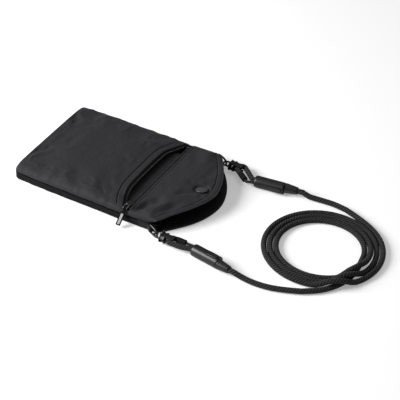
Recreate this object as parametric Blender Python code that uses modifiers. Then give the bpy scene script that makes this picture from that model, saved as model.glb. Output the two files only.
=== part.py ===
# Neck pouch for a phone, with a zip pocket on its front and a cord strap.
# It lies on its back. X runs across it, Y from its bottom to its mouth, Z up.
# The origin is the middle of its back, on the surface that it lies on.
import math

import bmesh
import bpy
from mathutils import Matrix, Vector

clearance = 0.0003

# Pouch outline
pouch_width = 0.121
pouch_length = 0.1645
corner_radius = 0.0055
front_reach = 0.030
back_reach = 0.033
front_edge_share = 1.7
back_edge_share = 2.0
corner_steps = 6
edge_steps = 20
crease_angle = math.radians(35)
weld_distance = 0.00001
bevel_steps = 2

# Cloth
back_cloth = 0.0012
front_cloth = 0.0008
gusset_cloth = 0.0010
divider_cloth = 0.0007
lining_cloth = 0.0005
edge_height = 0.0090
compartment_height = 0.0089
pocket_height = 0.0050
lining_inset = 0.0010

# Places up the pouch, as shares of its length, and how far the cloth has risen there
pocket_rise_share = [(0.0, 0.0), (0.015, 0.66), (0.05, 0.86), (0.40, 1.0), (1.0, 1.0)]
divider_rise_share = [(0.0, 0.0), (0.25, 0.48), (0.50, 1.0), (0.84, 1.0)]
pocket_side_share = [(0.0, 1.0), (0.50, 1.0), (0.80, 0.88), (0.92, 0.72), (0.97, 0.42), (1.0, 0.0)]
lip_side_share = [(0.0, 1.0), (0.50, 1.0), (0.77, 0.70), (0.90, 0.70), (1.0, 0.0)]
lip_blend_share = [(0.0, 0.0), (0.50, 0.0), (0.66, 1.0), (1.0, 1.0)]
upper_side_share = [(0.0, 1.0), (0.90, 1.0), (1.0, 0.0)]
divider_side_share = [(0.0, 1.0), (0.64, 1.0), (1.0, 0.0)]
column_share = [0.0, 0.14, 0.28, 0.42, 0.54, 0.64, 0.72, 0.78, 0.84, 0.90, 0.925, 0.95, 0.975, 1.0]
pocket_row_share = [0.0, 0.010, 0.025, 0.05, 0.09, 0.17, 0.28, 0.40, 0.52, 0.64, 0.75, 0.84, 0.92, 1.0]
divider_foot = 0.0046
divider_rows = 9
upper_rows = 5

# Zip, placed from the mouth and from the sides
zip_from_mouth = 0.0350
zip_from_side = 0.0059
lip_set_back = 0.0042
lip_bow = 0.0100
lip_bow_share = 4.0
lip_end_run = 0.0020
tape_thickness = 0.0005
tape_width = 0.0077
tape_end = 0.0017
tooth_pitch = 0.0026
tooth_foot = 0.0018
tooth_tip = 0.0010
tooth_spine = 0.0005
tooth_width = 0.0013
tooth_height = 0.0010
tooth_gap = 0.0005
facing_width = 0.0066
facing_thickness = 0.0005
stop_size = (0.0014, 0.0036, 0.0010)

# Zip slider
slider_length = 0.0090
slider_top_width = 0.0068
slider_bottom_width = 0.0084
slider_top_plate = 0.0007
slider_bottom_plate = 0.0006
slider_channel = 0.0016
slider_post_width = 0.0007
slider_post_length = 0.0018
slider_from_stop = 0.0050
slider_bevel = 0.0003
bail_offset = 0.0044
bail_length = 0.0030
bail_width = 0.0020
bail_height = 0.0026
bail_hole_height = 0.0015
eye_hole_radius = 0.00078

# Zip puller
link_wire_radius = 0.00045
link_length = 0.0060
link_width = 0.0040
link_slope = math.radians(12)
plate_slope = math.radians(42)
plate_length = 0.0139
plate_width = 0.0048
plate_thickness = 0.0008
plate_bevel = 0.0002
neck_width = 0.0024
neck_length = 0.0022
eye_radius = 0.00118

# Flap and press stud, placed from the mouth
flap_line_rise = 0.0045
flap_end_depth = 0.0034
flap_gap = 0.0008
flap_rise = 0.0021
stud_rise = 0.0140
cap_radius = 0.0062
cap_height = 0.0014
socket_radius = 0.0050
socket_height = 0.0019
socket_hole_radius = 0.0027
socket_hole_depth = 0.0012
stud_base_radius = 0.0052
stud_base_height = 0.0007
stud_neck_radius = 0.0017
stud_head_radius = 0.0022
stud_height = 0.0027
cap_profile_share = [(0.0, 1.0), (0.5, 0.92), (0.85, 0.62), (1.0, 0.25), (0.96, 0.0), (0.0, 0.0)]
socket_rim_share = 0.33
socket_lip_share = 0.5
stud_head_share = 0.82
stud_waist_share = 0.55
round_steps = 24
small_round_steps = 16
hole_steps = 12

# Webbing tabs and rings, placed back from the mouth
tab_cloth = 0.0006
tab_width = 0.0064
tab_from_mouth = 0.0190
tab_seam = 0.011
tab_arc_steps = 8
tab_arc_start_share = 1.12
tab_arc_share = 1.18
ring_wire_radius = 0.0010
ring_height = 0.0090
ring_reach = 0.0110
ring_from_mouth = 0.0040
ring_bar_outset = 0.0030
ring_centre_height = 0.0060
ring_arc_steps = 12
ring_roundness = 0.7
near_ring_turn = math.radians(-23)
far_ring_turn = math.radians(-19)

# Hooks
hook_wire_radius = 0.0010
hook_slack = 0.0005
jaw_radius = 0.0032
jaw_steps = 9
jaw_tip = 0.0006
jaw_root = 0.0005
barrel_start = 0.0042
barrel_length = 0.0056
barrel_width = 0.0104
barrel_height = 0.0070
barrel_bevel = 0.0006
flange_length = 0.0012
flange_width = 0.0116
flange_height = 0.0082
flange_bevel = 0.0005
yoke_width = 0.0108
yoke_plate = 0.0010
yoke_root = 0.0004
yoke_end = 0.0012
pin_radius = 0.0009
bolt_radius = 0.0010
bolt_travel = 0.0026
bolt_tail = 0.0022
knob_set_back = 0.0015
knob_radius = 0.0011
knob_height = 0.0013
knob_stem_radius = 0.00055
slot_half_width = 0.00085

# Cord
cord_diameter = 0.0048
tail_diameter = 0.0026
sleeve_diameter = 0.0058
sleeve_length = 0.0100
sleeve_bevel = 0.0006
cord_step = 0.0110
loop_step = 0.0050
bend_steps = 8
near_sleeve_turn = math.radians(-0.5)
far_sleeve_turn = math.radians(-35)

# Adjusters on the cord
adjuster_radius = 0.0060
adjuster_length = 0.0310
adjuster_end_round = 0.0028
end_round_steps = 3
adjuster_edge_round = 0.0005
adjuster_bore_offset = 0.0015
tail_bore_offset = 0.0034
tail_bore_depth = 0.0080
nose_radius = 0.0050
nose_tip_radius = 0.0037
nose_length = 0.0130
nose_round = 0.0009
button_length = 0.0110
button_width = 0.0052
button_height = 0.0012
button_proud = 0.0005
button_travel = 0.0010
button_end_gap = 0.0020
near_adjuster_turn = math.radians(-8.3)
far_adjuster_turn = math.radians(7.7)

# Coil of the strap, seen from above, wound clockwise from its far lead
coil_radius = 0.0548
coil_pitch = 0.0053
coil_long_share = 1.07
coil_start_angle = 180.0
coil_turns = 3
coil_end_angle = 15.0
coil_points_per_turn = 24
lead_in_angle = 35.0
lead_in_rise = 0.0045
lead_in_slope = 0.0190
cross_angle = 85.0
cross_end_radius = 0.0617
cross_slope = 0.0210
hump_height = 0.0064
hump_flat = 0.0012
hump_reach = 0.0090
hump_ramp_angle = 35.0

gap_pieces = 6

# Hand-chosen points of the strap: across the pouch, on from its mouth, and above the table
near_loop_bulge = (0.0712, 0.0340)
far_loop_bulge = (-0.0582, 0.0325)
near_adjuster = (0.0681, 0.0454)
far_adjuster = (-0.0500, 0.0442)
coil_centre = (0.0015, 0.1448)
near_lead_points = [
    (0.0763, 0.1020, 0.0036),
    (0.0764, 0.1140, 0.0024),
    (0.0750, 0.1280, 0.0024),
    (0.0712, 0.1410, 0.0024),
]
far_lead_points = [
    (-0.0583, 0.1000, 0.0037),
    (-0.0604, 0.1125, 0.0024),
    (-0.0611, 0.1250, 0.0024),
]

cloth_black = (0.026, 0.026, 0.029, 1.0)
lining_black = (0.016, 0.016, 0.018, 1.0)
cord_black = (0.020, 0.020, 0.021, 1.0)
plastic_black = (0.018, 0.018, 0.020, 1.0)
gunmetal = (0.16, 0.16, 0.17, 1.0)
bright_metal = (0.42, 0.42, 0.43, 1.0)

# Sizes that follow from the ones above
half_width = pouch_width / 2
total_length = pouch_length + back_reach
origin_place = total_length / 2
zip_place = pouch_length - zip_from_mouth
zip_half_length = half_width - zip_from_side
slider_start = zip_half_length - slider_from_stop
flap_line = pouch_length + flap_line_rise
flap_edge_share = 1 - (flap_line_rise + flap_end_depth) / front_reach
flap_half_width = half_width * flap_edge_share ** (1 / front_edge_share)
stud_place = pouch_length + stud_rise
tab_root = pouch_length - tab_from_mouth
ring_bar_place = pouch_length - ring_from_mouth
cord_radius = cord_diameter / 2
lining_bottom = back_cloth + clearance
lining_top = lining_bottom + lining_cloth
divider_bottom = lining_top + compartment_height
divider_top = divider_bottom + divider_cloth
pocket_top = divider_top + pocket_height + front_cloth
inner_half_width = half_width - gusset_cloth - clearance
channel_bottom = divider_top + clearance + slider_bottom_plate
channel_top = channel_bottom + slider_channel
zip_height = (channel_bottom + channel_top) / 2
upper_zip_top = zip_height + tape_thickness / 2 + clearance + front_cloth
flap_top = upper_zip_top + flap_rise
hinge_height = flap_top - front_cloth / 2
gusset_top = edge_height - front_cloth - clearance
slider_top = channel_top + slider_top_plate
bail_place = slider_start + bail_offset
bail_hinge_height = slider_top + bail_hole_height
hook_body_end = barrel_start + barrel_length
pin_place = hook_body_end + clearance + cord_diameter + clearance + pin_radius
loop_radius = pin_radius + clearance + cord_radius


def at(across, up_pouch, height):
    """World place of a point given across the pouch, from its bottom, and above the table."""
    return Vector((across, up_pouch - origin_place, height))


def beyond_mouth(across, past_mouth, height):
    """World place of a point of the strap, given on from the pouch's mouth."""
    return at(across, pouch_length + past_mouth, height)


def blend_table(table_share, place):
    """Value between the rows of a table, eased so that the cloth has no kink at a row."""
    if place <= table_share[0][0]:
        return table_share[0][1]
    for (low, low_value), (high, high_value) in zip(table_share, table_share[1:]):
        if place <= high:
            part = (place - low) / (high - low)
            eased = part * part * (3 - 2 * part)
            return low_value + (high_value - low_value) * eased
    return table_share[-1][1]


def mixed_columns():
    """Column places from one side to the other, closer together near the sides."""
    return [-share for share in reversed(column_share[1:])] + column_share


def outline_half_width(up_pouch, side):
    """Half width of a panel whose straight side is at `side`, with its rounded bottom corner."""
    inset = half_width - side
    radius = corner_radius - inset
    along = up_pouch - inset
    if along >= radius:
        return side
    return side - radius + math.sqrt(max(radius ** 2 - (radius - along) ** 2, 0.0))


def front_edge(across):
    """How far up the pouch the front's free edge lies at a place across it."""
    share = min(abs(across) / half_width, 1.0)
    return pouch_length + front_reach * (1 - share ** front_edge_share)


def back_edge(across):
    """The same for the back's free edge."""
    share = min(abs(across) / half_width, 1.0)
    return pouch_length + back_reach * (1 - share ** back_edge_share)


def zip_lip(across):
    """Edge of the open front lip of the pocket, bowed away from the straight back lip."""
    share = min(abs(across) / zip_half_length, 1.0)
    return zip_place - lip_set_back - lip_bow * (1 - share ** lip_bow_share)


def pocket_panel_edge(across):
    """Top edge of the pocket panel: the lip, then the seam with the upper panel past the zip."""
    past_zip = (abs(across) - zip_half_length - stop_size[0] - clearance) / lip_end_run
    closed = zip_place + lip_set_back - clearance
    part = min(max(past_zip, 0.0), 1.0)
    return zip_lip(across) + (closed - zip_lip(across)) * part


def pocket_surface(across, up_pouch):
    """Outer face of the pocket panel: full and round low down, flatter at the sides near the zip."""
    rise = blend_table(pocket_rise_share, up_pouch / pouch_length)
    low = blend_table(pocket_side_share, abs(across) / half_width)
    high = blend_table(lip_side_share, abs(across) / half_width)
    side = low + (high - low) * blend_table(lip_blend_share, up_pouch / pouch_length)
    return edge_height + (pocket_top - edge_height) * rise * side


def upper_surface(across, up_pouch):
    """Outer face of the panel between the zip and the flap."""
    part = (up_pouch - zip_place) / (pouch_length - zip_place)
    level = blend_table([(0.0, upper_zip_top), (1.0, flap_top)], part)
    side = blend_table(upper_side_share, abs(across) / half_width)
    return edge_height + (level - edge_height) * side


def divider_surface(across, up_pouch):
    """Outer face of the wall behind the pocket, which rises to the flap's underside at the mouth."""
    rise = blend_table(divider_rise_share, up_pouch / pouch_length)
    side = blend_table(divider_side_share, abs(across) / inner_half_width)
    mouth_top = flap_top - front_cloth - clearance
    above_zip = zip_place + lip_set_back + facing_width + tape_end
    mouth = blend_table([(0.0, 0.0), (1.0, 1.0)], (up_pouch - above_zip) / (pouch_length - above_zip))
    level = divider_top + (mouth_top - divider_top) * mouth
    return divider_foot + (level - divider_foot) * rise * side


def clear_scene():
    for item in list(bpy.data.objects):
        bpy.data.objects.remove(item, do_unlink=True)


def new_collection(name):
    collection = bpy.data.collections.new(name)
    bpy.context.scene.collection.children.link(collection)
    return collection


def new_material(name, colour, roughness, metallic):
    material = bpy.data.materials.new(name)
    material.use_nodes = True
    material.diffuse_color = colour
    shader = material.node_tree.nodes["Principled BSDF"]
    shader.inputs["Base Color"].default_value = colour
    shader.inputs["Roughness"].default_value = roughness
    shader.inputs["Metallic"].default_value = metallic
    return material


def add_object(name, mesh, material):
    """Put a mesh in the pouch's collection as a part of its own."""
    part = bpy.data.objects.new(name, mesh)
    parts_collection.objects.link(part)
    if material:
        mesh.materials.append(material)
    return part


def shade(part):
    part.data.shade_smooth()
    part.data.set_sharp_from_angle(angle=crease_angle)
    return part


def mesh_from(name, model):
    mesh = bpy.data.meshes.new(name)
    model.to_mesh(mesh)
    model.free()
    return mesh


def add_box(name, size, centre, material, bevel=0.0):
    model = bmesh.new()
    bmesh.ops.create_cube(model, size=1.0)
    place = Matrix.Translation(centre) @ Matrix.Diagonal((*size, 1.0))
    bmesh.ops.transform(model, matrix=place, verts=model.verts)
    part = add_object(name, mesh_from(name, model), material)
    if bevel:
        rounding = part.modifiers.new("Rounded edges", "BEVEL")
        rounding.width = bevel
        rounding.segments = bevel_steps
        rounding.limit_method = "ANGLE"
    return part


def add_cylinder(name, radius, length, centre, axis, material, steps=round_steps):
    """A plain cylinder whose middle is at `centre`, along `axis`."""
    model = bmesh.new()
    bmesh.ops.create_cone(
        model, cap_ends=True, segments=steps, radius1=radius, radius2=radius, depth=length
    )
    turn = Vector((0, 0, 1)).rotation_difference(Vector(axis)).to_matrix().to_4x4()
    bmesh.ops.transform(model, matrix=Matrix.Translation(centre) @ turn, verts=model.verts)
    return shade(add_object(name, mesh_from(name, model), material))


def add_turned(name, profile, material, hollow=False):
    """A turned shape about its own Z from a profile of (radius, height), top to bottom."""
    mesh = bpy.data.meshes.new(name)
    corners = [(radius, 0.0, height) for radius, height in profile]
    edges = [(index, index + 1) for index in range(len(corners) - 1)]
    if hollow:
        edges.append((len(corners) - 1, 0))
    mesh.from_pydata(corners, edges, [])
    part = add_object(name, mesh, material)
    screw = part.modifiers.new("Turned", "SCREW")
    screw.axis = "Z"
    screw.steps = round_steps
    screw.render_steps = round_steps
    screw.use_merge_vertices = True
    screw.merge_threshold = weld_distance
    screw.use_smooth_shade = True
    return part


def even_rows(count):
    return [row / count for row in range(count + 1)]


def add_sheet(name, columns, rows, place_of, thickness, material):
    """Cloth from a grid whose points `place_of` gives, thickened away from its outer face."""
    model = bmesh.new()
    last_column = len(columns) - 1
    last_row = len(rows) - 1
    bmesh.ops.create_grid(model, x_segments=last_column, y_segments=last_row, size=1.0)
    for vertex in model.verts:
        column = round((vertex.co.x + 1) / 2 * last_column)
        row = round((vertex.co.y + 1) / 2 * last_row)
        vertex.co = place_of(columns[column], rows[row])
    part = add_object(name, mesh_from(name, model), material)
    wall = part.modifiers.new("Cloth thickness", "SOLIDIFY")
    wall.thickness = thickness
    wall.offset = -1.0
    wall.use_even_offset = False
    return shade(part)


def add_outline(name, outline, bottom, top, material):
    """A flat piece from its outline, as a filled 2D curve with a thickness."""
    curve = bpy.data.curves.new(name, "CURVE")
    curve.dimensions = "2D"
    curve.fill_mode = "BOTH"
    curve.extrude = (top - bottom) / 2
    spline = curve.splines.new("POLY")
    spline.points.add(len(outline) - 1)
    for point, (across, up_pouch) in zip(spline.points, outline):
        point.co = (across, up_pouch - origin_place, 0.0, 1.0)
    spline.use_cyclic_u = True
    curve.materials.append(material)
    part = bpy.data.objects.new(name, curve)
    part.location = (0.0, 0.0, (top + bottom) / 2)
    parts_collection.objects.link(part)
    return part


def add_tube(name, points, radius, material, closed=False, resolution=2):
    """A round wire or cord through the points."""
    curve = bpy.data.curves.new(name, "CURVE")
    curve.dimensions = "3D"
    curve.bevel_depth = radius
    curve.bevel_resolution = resolution
    curve.use_fill_caps = not closed
    spline = curve.splines.new("POLY")
    spline.points.add(len(points) - 1)
    for point, place in zip(spline.points, points):
        point.co = (*place, 1.0)
    spline.use_cyclic_u = closed
    curve.materials.append(material)
    part = bpy.data.objects.new(name, curve)
    parts_collection.objects.link(part)
    return part


def as_mesh(part):
    """The same part as a welded mesh, because a curve takes no Boolean."""
    evaluated = part.evaluated_get(bpy.context.evaluated_depsgraph_get())
    mesh = bpy.data.meshes.new_from_object(evaluated)
    model = bmesh.new()
    model.from_mesh(mesh)
    bmesh.ops.remove_doubles(model, verts=model.verts, dist=weld_distance)
    model.to_mesh(mesh)
    model.free()
    name = part.name
    place = part.matrix_world.copy()
    bpy.data.objects.remove(part, do_unlink=True)
    solid = bpy.data.objects.new(name, mesh)
    solid.matrix_world = place
    parts_collection.objects.link(solid)
    return solid


def use_as_tool(part, tool, operation):
    """Cut the part with the tool, or join the tool to it, and put the tool away."""
    step = part.modifiers.new(operation.title(), "BOOLEAN")
    step.operation = operation
    step.object = tool
    tool.hide_render = True
    tool.display_type = "WIRE"
    parts_collection.objects.unlink(tool)
    cutters_collection.objects.link(tool)
    return part


def smooth_route(places, step):
    """Points a step apart on a smooth curve through the places."""
    route = []
    last = len(places) - 1
    for index in range(last):
        before = places[max(index - 1, 0)]
        start = places[index]
        end = places[index + 1]
        after = places[min(index + 2, last)]
        pieces = max(1, round((end - start).length / step))
        for piece in range(pieces):
            part = piece / pieces
            slope_in = (end - before) / 2
            slope_out = (after - start) / 2
            ease = part * part * (3 - 2 * part)
            pull_in = part * (1 - part) ** 2
            pull_out = part * part * (part - 1)
            route.append(start.lerp(end, ease) + slope_in * pull_in + slope_out * pull_out)
    route.append(places[last])
    return route


def build_back(cloth, lining):
    """The back panel and its lining: flat sheets up to the mouth's longer back edge."""
    for name, side, bottom, top, inset, material in (
        ("back_panel", half_width, 0.0, back_cloth, 0.0, cloth),
        ("back_lining", inner_half_width, lining_bottom, lining_top, lining_inset, lining),
    ):
        edge_inset = half_width - side
        radius = corner_radius - edge_inset
        corner = [
            (side - radius + radius * math.sin(step / corner_steps * math.pi / 2),
             edge_inset + radius - radius * math.cos(step / corner_steps * math.pi / 2))
            for step in range(corner_steps + 1)
        ]
        mouth = []
        for step in range(edge_steps + 1):
            across = side * math.cos(math.pi * step / edge_steps)
            mouth.append((across, back_edge(across) - inset))
        outline = corner + mouth + [(-across, up_pouch) for across, up_pouch in reversed(corner)]
        add_outline(name, outline, bottom, top, material)


def build_gusset(cloth):
    """The side band, as two straight sides and the bottom with its rounded corners."""
    sides_length = pouch_length - corner_radius - clearance
    wall_height = gusset_top - lining_bottom
    for name, side in (("gusset_near", 1), ("gusset_far", -1)):
        centre = at(
            side * (half_width - gusset_cloth / 2),
            pouch_length - sides_length / 2,
            (gusset_top + lining_bottom) / 2,
        )
        add_box(name, (gusset_cloth, sides_length, wall_height), centre, cloth)
    arc = [step / corner_steps * math.pi / 2 for step in range(corner_steps + 1)]
    middle = half_width - corner_radius
    inner_radius = corner_radius - gusset_cloth
    edges = []
    for radius in (corner_radius, inner_radius):
        edge = [(middle + radius * math.sin(turn), corner_radius - radius * math.cos(turn)) for turn in arc]
        edges.append([(-across, up_pouch) for across, up_pouch in reversed(edge)] + edge)
    outer, inner = edges
    add_outline("gusset_bottom", outer + list(reversed(inner)), lining_bottom, gusset_top, cloth)


def build_front(cloth, lining):
    """The divider behind the pocket, the pocket's own panel, and the panel above the zip."""
    columns = mixed_columns()

    def divider_place(column, row):
        bottom = gusset_cloth + clearance
        up_pouch = bottom + (pouch_length - bottom) * row
        across = column * outline_half_width(up_pouch, inner_half_width)
        return at(across, up_pouch, divider_surface(across, up_pouch))

    def pocket_place(column, row):
        up_pouch = pocket_panel_edge(column * half_width) * row
        across = column * outline_half_width(up_pouch, half_width)
        return at(across, up_pouch, pocket_surface(across, up_pouch))

    def upper_place(column, row):
        across = column * half_width
        bottom = zip_place + lip_set_back
        corner_line = flap_line - flap_gap / 2
        top = min(front_edge(across), corner_line)
        up_pouch = bottom + (top - bottom) * row
        return at(across, up_pouch, upper_surface(across, up_pouch))

    add_sheet("divider_panel", columns, even_rows(divider_rows), divider_place, divider_cloth, lining)
    add_sheet("pocket_panel", columns, pocket_row_share, pocket_place, front_cloth, cloth)
    add_sheet("upper_front_panel", columns, even_rows(upper_rows), upper_place, front_cloth, cloth)


def under_cloth(surface, across, up_pouch, thickness):
    """Height just under a cloth of this thickness whose outer face is the surface."""
    step = clearance
    slope = (surface(across + step, up_pouch) - surface(across - step, up_pouch)) / (2 * step)
    return surface(across, up_pouch) - thickness * math.sqrt(1 + slope ** 2) - clearance


def front_tape_top(across):
    return under_cloth(pocket_surface, across, zip_lip(across), front_cloth)


def back_tape_top(across, up_pouch):
    """Level with the zip, or lower where the cloth above it comes down to the side."""
    under_upper = under_cloth(upper_surface, across, up_pouch, front_cloth)
    under_pocket = under_cloth(pocket_surface, across, up_pouch, front_cloth)
    return min(zip_height + tape_thickness / 2, under_upper, under_pocket)


def build_zip(tape_cloth, teeth_plastic, stop_metal, lining):
    """The tapes, the rows of teeth, the end stops and the facings that hold the tapes."""
    columns = [share * (zip_half_length + tape_end) for share in mixed_columns()]

    def front_tape_place(across, row):
        inner_edge = zip_lip(across) + tape_end
        up_pouch = inner_edge - tape_width + tape_width * row
        return at(across, up_pouch, front_tape_top(across))

    def front_facing_place(across, row):
        top = zip_lip(across) + tape_end - tape_width - clearance
        up_pouch = top - facing_width + facing_width * row
        return at(across, up_pouch, front_tape_top(across))

    def back_tape_place(across, row):
        up_pouch = zip_place + tooth_gap + tooth_width + tooth_gap + tape_width * row
        return at(across, up_pouch, back_tape_top(across, up_pouch))

    def back_facing_place(across, row):
        bottom = zip_place + slider_bottom_width / 2 + 2 * clearance
        up_pouch = bottom + facing_width * row
        return at(across, up_pouch, under_cloth(back_tape_top, across, up_pouch, tape_thickness))

    add_sheet("zipper_tape_front", columns, even_rows(2), front_tape_place, tape_thickness, tape_cloth)
    add_sheet("pocket_facing", columns, even_rows(2), front_facing_place, facing_thickness, lining)
    add_sheet("zipper_tape_back", columns, even_rows(1), back_tape_place, tape_thickness, tape_cloth)
    add_sheet("zip_facing", columns, even_rows(1), back_facing_place, facing_thickness, lining)

    count = int(2 * (zip_half_length - tooth_pitch) / tooth_pitch) + 1
    comb = []
    for index in range(count):
        middle = (index - (count - 1) / 2) * tooth_pitch
        for offset, reach in (
            (-tooth_foot / 2, tooth_spine),
            (-tooth_tip / 2, tooth_width),
            (tooth_tip / 2, tooth_width),
            (tooth_foot / 2, tooth_spine),
        ):
            comb.append((middle + offset, reach))

    def front_teeth_place(column, row):
        across, reach = column
        start = zip_lip(across) + tape_end + tooth_gap
        height = front_tape_top(across) + (tooth_height - tape_thickness) / 2
        return at(across, start + reach * row, height)

    def back_teeth_place(column, row):
        across, reach = column
        start = zip_place + tooth_gap + tooth_width
        return at(across, start - reach * (1 - row), zip_height + tooth_height / 2)

    add_sheet("zipper_teeth_front", comb, even_rows(1), front_teeth_place, tooth_height, teeth_plastic)
    add_sheet("zipper_teeth_back", comb, even_rows(1), back_teeth_place, tooth_height, teeth_plastic)
    for word, side in (("near", 1), ("far", -1)):
        across = side * (zip_half_length + stop_size[0] / 2)
        level = back_tape_top(across, zip_place)
        centre = at(across, zip_place, level - tape_thickness / 2)
        add_box("zipper_stop_" + word, stop_size, centre, stop_metal)


def build_slider(metal):
    """The slider with its bail, the link through the bail, and the plate that is pulled."""
    slider = add_box(
        "zipper_slider",
        (slider_length, slider_top_width, slider_top_plate),
        at(slider_start, zip_place, channel_top + slider_top_plate / 2),
        metal,
        slider_bevel,
    )
    lower = add_box(
        "slider_lower_plate",
        (slider_length, slider_bottom_width, slider_bottom_plate),
        at(slider_start, zip_place, channel_bottom - slider_bottom_plate / 2),
        None,
        slider_bevel / 2,
    )
    post_height = slider_channel + slider_top_plate + slider_bottom_plate
    post_place = slider_start - slider_length / 2 + slider_post_length
    post = add_box(
        "slider_post",
        (slider_post_length, slider_post_width, post_height),
        at(post_place, zip_place, (channel_bottom + slider_top) / 2),
        None,
    )
    bail = add_box(
        "slider_bail",
        (bail_length, bail_width, bail_height + slider_top_plate),
        at(bail_place, zip_place, slider_top + (bail_height - slider_top_plate) / 2),
        None,
        slider_bevel,
    )
    hole = add_cylinder(
        "slider_bail_hole",
        eye_hole_radius,
        2 * bail_width,
        at(bail_place, zip_place, bail_hinge_height),
        (0, 1, 0),
        None,
        hole_steps,
    )
    for tool in (post, lower, bail):
        use_as_tool(slider, tool, "UNION")
    use_as_tool(slider, hole, "DIFFERENCE")

    link_direction = Vector((math.cos(link_slope), 0.0, -math.sin(link_slope)))
    link_start = at(bail_place, zip_place, bail_hinge_height)
    link_end = link_start + link_direction * link_length
    half = Vector((0.0, link_width / 2, 0.0))
    corners = [link_start + half, link_end + half, link_end - half, link_start - half]
    add_tube("puller_link", corners, link_wire_radius, metal, closed=True)

    turn = Matrix.Rotation(plate_slope, 4, "Y")
    plate_size = (plate_length, plate_width, plate_thickness)
    plate = add_box("puller_plate", plate_size, Vector(), metal, plate_bevel)
    plate_offset = eye_radius + neck_length + plate_length / 2
    plate.data.transform(Matrix.Translation((plate_offset, 0.0, 0.0)))
    neck = add_box(
        "plate_neck",
        (neck_length + plate_width / 2, neck_width, plate_thickness),
        Vector((eye_radius + neck_length / 2, 0.0, 0.0)),
        None,
    )
    across_way = Vector((0.0, 1.0, 0.0))
    eye = add_cylinder("plate_eye", eye_radius, neck_width, Vector(), across_way, None, small_round_steps)
    hole_length = 2 * neck_width
    eye_hole = add_cylinder(
        "plate_eye_hole", eye_hole_radius, hole_length, Vector(), across_way, None, hole_steps
    )
    for tool in (neck, eye):
        use_as_tool(plate, tool, "UNION")
    use_as_tool(plate, eye_hole, "DIFFERENCE")
    for piece in (plate, neck, eye, eye_hole):
        piece.matrix_world = Matrix.Translation(link_end) @ turn


def build_flap(cloth, lining, gloss, metal):
    """The free flap over the mouth, hinged in the cloth, with its half of the press stud."""
    bottom = flap_line + flap_gap / 2

    def flap_outline(inset):
        corners = [(-flap_half_width, bottom), (flap_half_width, bottom)]
        for share in reversed(mixed_columns()):
            across = share * flap_half_width
            corners.append((across, front_edge(across) - inset))
        return corners

    add_outline("flap_panel", flap_outline(0.0), flap_top - front_cloth, flap_top, cloth)
    lining_height = flap_top - front_cloth - clearance
    lining_outline = flap_outline(lining_inset)
    add_outline("flap_lining", lining_outline, lining_height - lining_cloth, lining_height, lining)

    cap_bottom = flap_top + clearance
    cap = add_turned(
        "snap_cap",
        [(out * cap_radius, up * cap_height) for out, up in cap_profile_share],
        gloss,
    )
    cap.location = at(0.0, stud_place, cap_bottom)

    socket_top = lining_height - lining_cloth - clearance
    socket = add_turned(
        "snap_socket",
        [
            (0.0, socket_height),
            (socket_radius, socket_height),
            (socket_radius, socket_height * socket_rim_share),
            (socket_hole_radius + socket_height * socket_lip_share, 0.0),
            (socket_hole_radius, 0.0),
            (socket_hole_radius, socket_hole_depth),
            (0.0, socket_hole_depth),
        ],
        metal,
    )
    socket.location = at(0.0, stud_place, socket_top - socket_height)


def build_stud(metal):
    """The press stud's other half, on the lining of the back."""
    stud = add_turned(
        "snap_stud",
        [
            (0.0, stud_height),
            (stud_neck_radius, stud_height),
            (stud_head_radius, stud_height * stud_head_share),
            (stud_neck_radius, stud_height * stud_waist_share),
            (stud_neck_radius, stud_base_height),
            (stud_base_radius, stud_base_height),
            (stud_base_radius, 0.0),
            (0.0, 0.0),
        ],
        metal,
    )
    stud.location = at(0.0, stud_place, lining_top + clearance)


def ring_bar(side):
    """Middle of a ring's straight bar, beside the pouch at the mouth's end of the seam."""
    return at(side * (half_width + ring_bar_outset), ring_bar_place, ring_centre_height)


def ring_turn(side):
    return near_ring_turn if side > 0 else far_ring_turn


def ring_direction(side):
    return Matrix.Rotation(ring_turn(side), 3, "Z") @ Vector((0.0, 1.0, 0.0))


def ring_leg(side):
    """The far leg of a ring, which the hook's jaw goes round."""
    return ring_bar(side) + ring_direction(side) * ring_reach


def hook_middle(side):
    """Middle of the hook's jaw, drawn along until the jaw nearly bears on the ring."""
    return ring_leg(side) + Vector((0.0, hook_slack, 0.0))


def build_tab(name, side, cloth):
    """A webbing tab: two plies sewn flat on the side, and a fold that holds the ring's bar."""
    fold_radius = ring_wire_radius + clearance
    inner_place = half_width + clearance + tab_cloth
    outer_place = inner_place + clearance
    bar_place = half_width + ring_bar_outset
    path = [(inner_place, tab_root), (inner_place, tab_root + tab_seam)]
    for step in range(tab_arc_steps + 1):
        turn = math.pi * (tab_arc_start_share - tab_arc_share * step / tab_arc_steps)
        out, up = fold_radius * math.cos(turn), fold_radius * math.sin(turn)
        path.append((bar_place + out, ring_bar_place + up))
    path += [(outer_place, tab_root + tab_seam), (outer_place, tab_root)]

    def tab_place(point, row):
        across, up_pouch = point
        height = ring_centre_height + tab_width * (row - 0.5) * side
        return at(side * across, up_pouch, height)

    part = add_sheet(name, path, even_rows(1), tab_place, tab_cloth, cloth)
    part.modifiers["Cloth thickness"].use_even_offset = True


def build_ring(name, side, metal):
    """A ring of bent wire: a straight bar in the tab and a rounded end for the hook."""
    direction = ring_direction(side)
    bar = ring_bar(side)
    half = ring_height / 2
    points = [bar - Vector((0.0, 0.0, half)), bar + Vector((0.0, 0.0, half))]
    for step in range(1, ring_arc_steps):
        turn = math.pi / 2 - math.pi * step / ring_arc_steps
        reach = abs(math.cos(turn)) ** ring_roundness * ring_reach
        rise = math.copysign(abs(math.sin(turn)) ** ring_roundness, math.sin(turn)) * half
        points.append(bar + direction * reach + Vector((0.0, 0.0, rise)))
    add_tube(name, points, ring_wire_radius, metal, closed=True)


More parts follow.
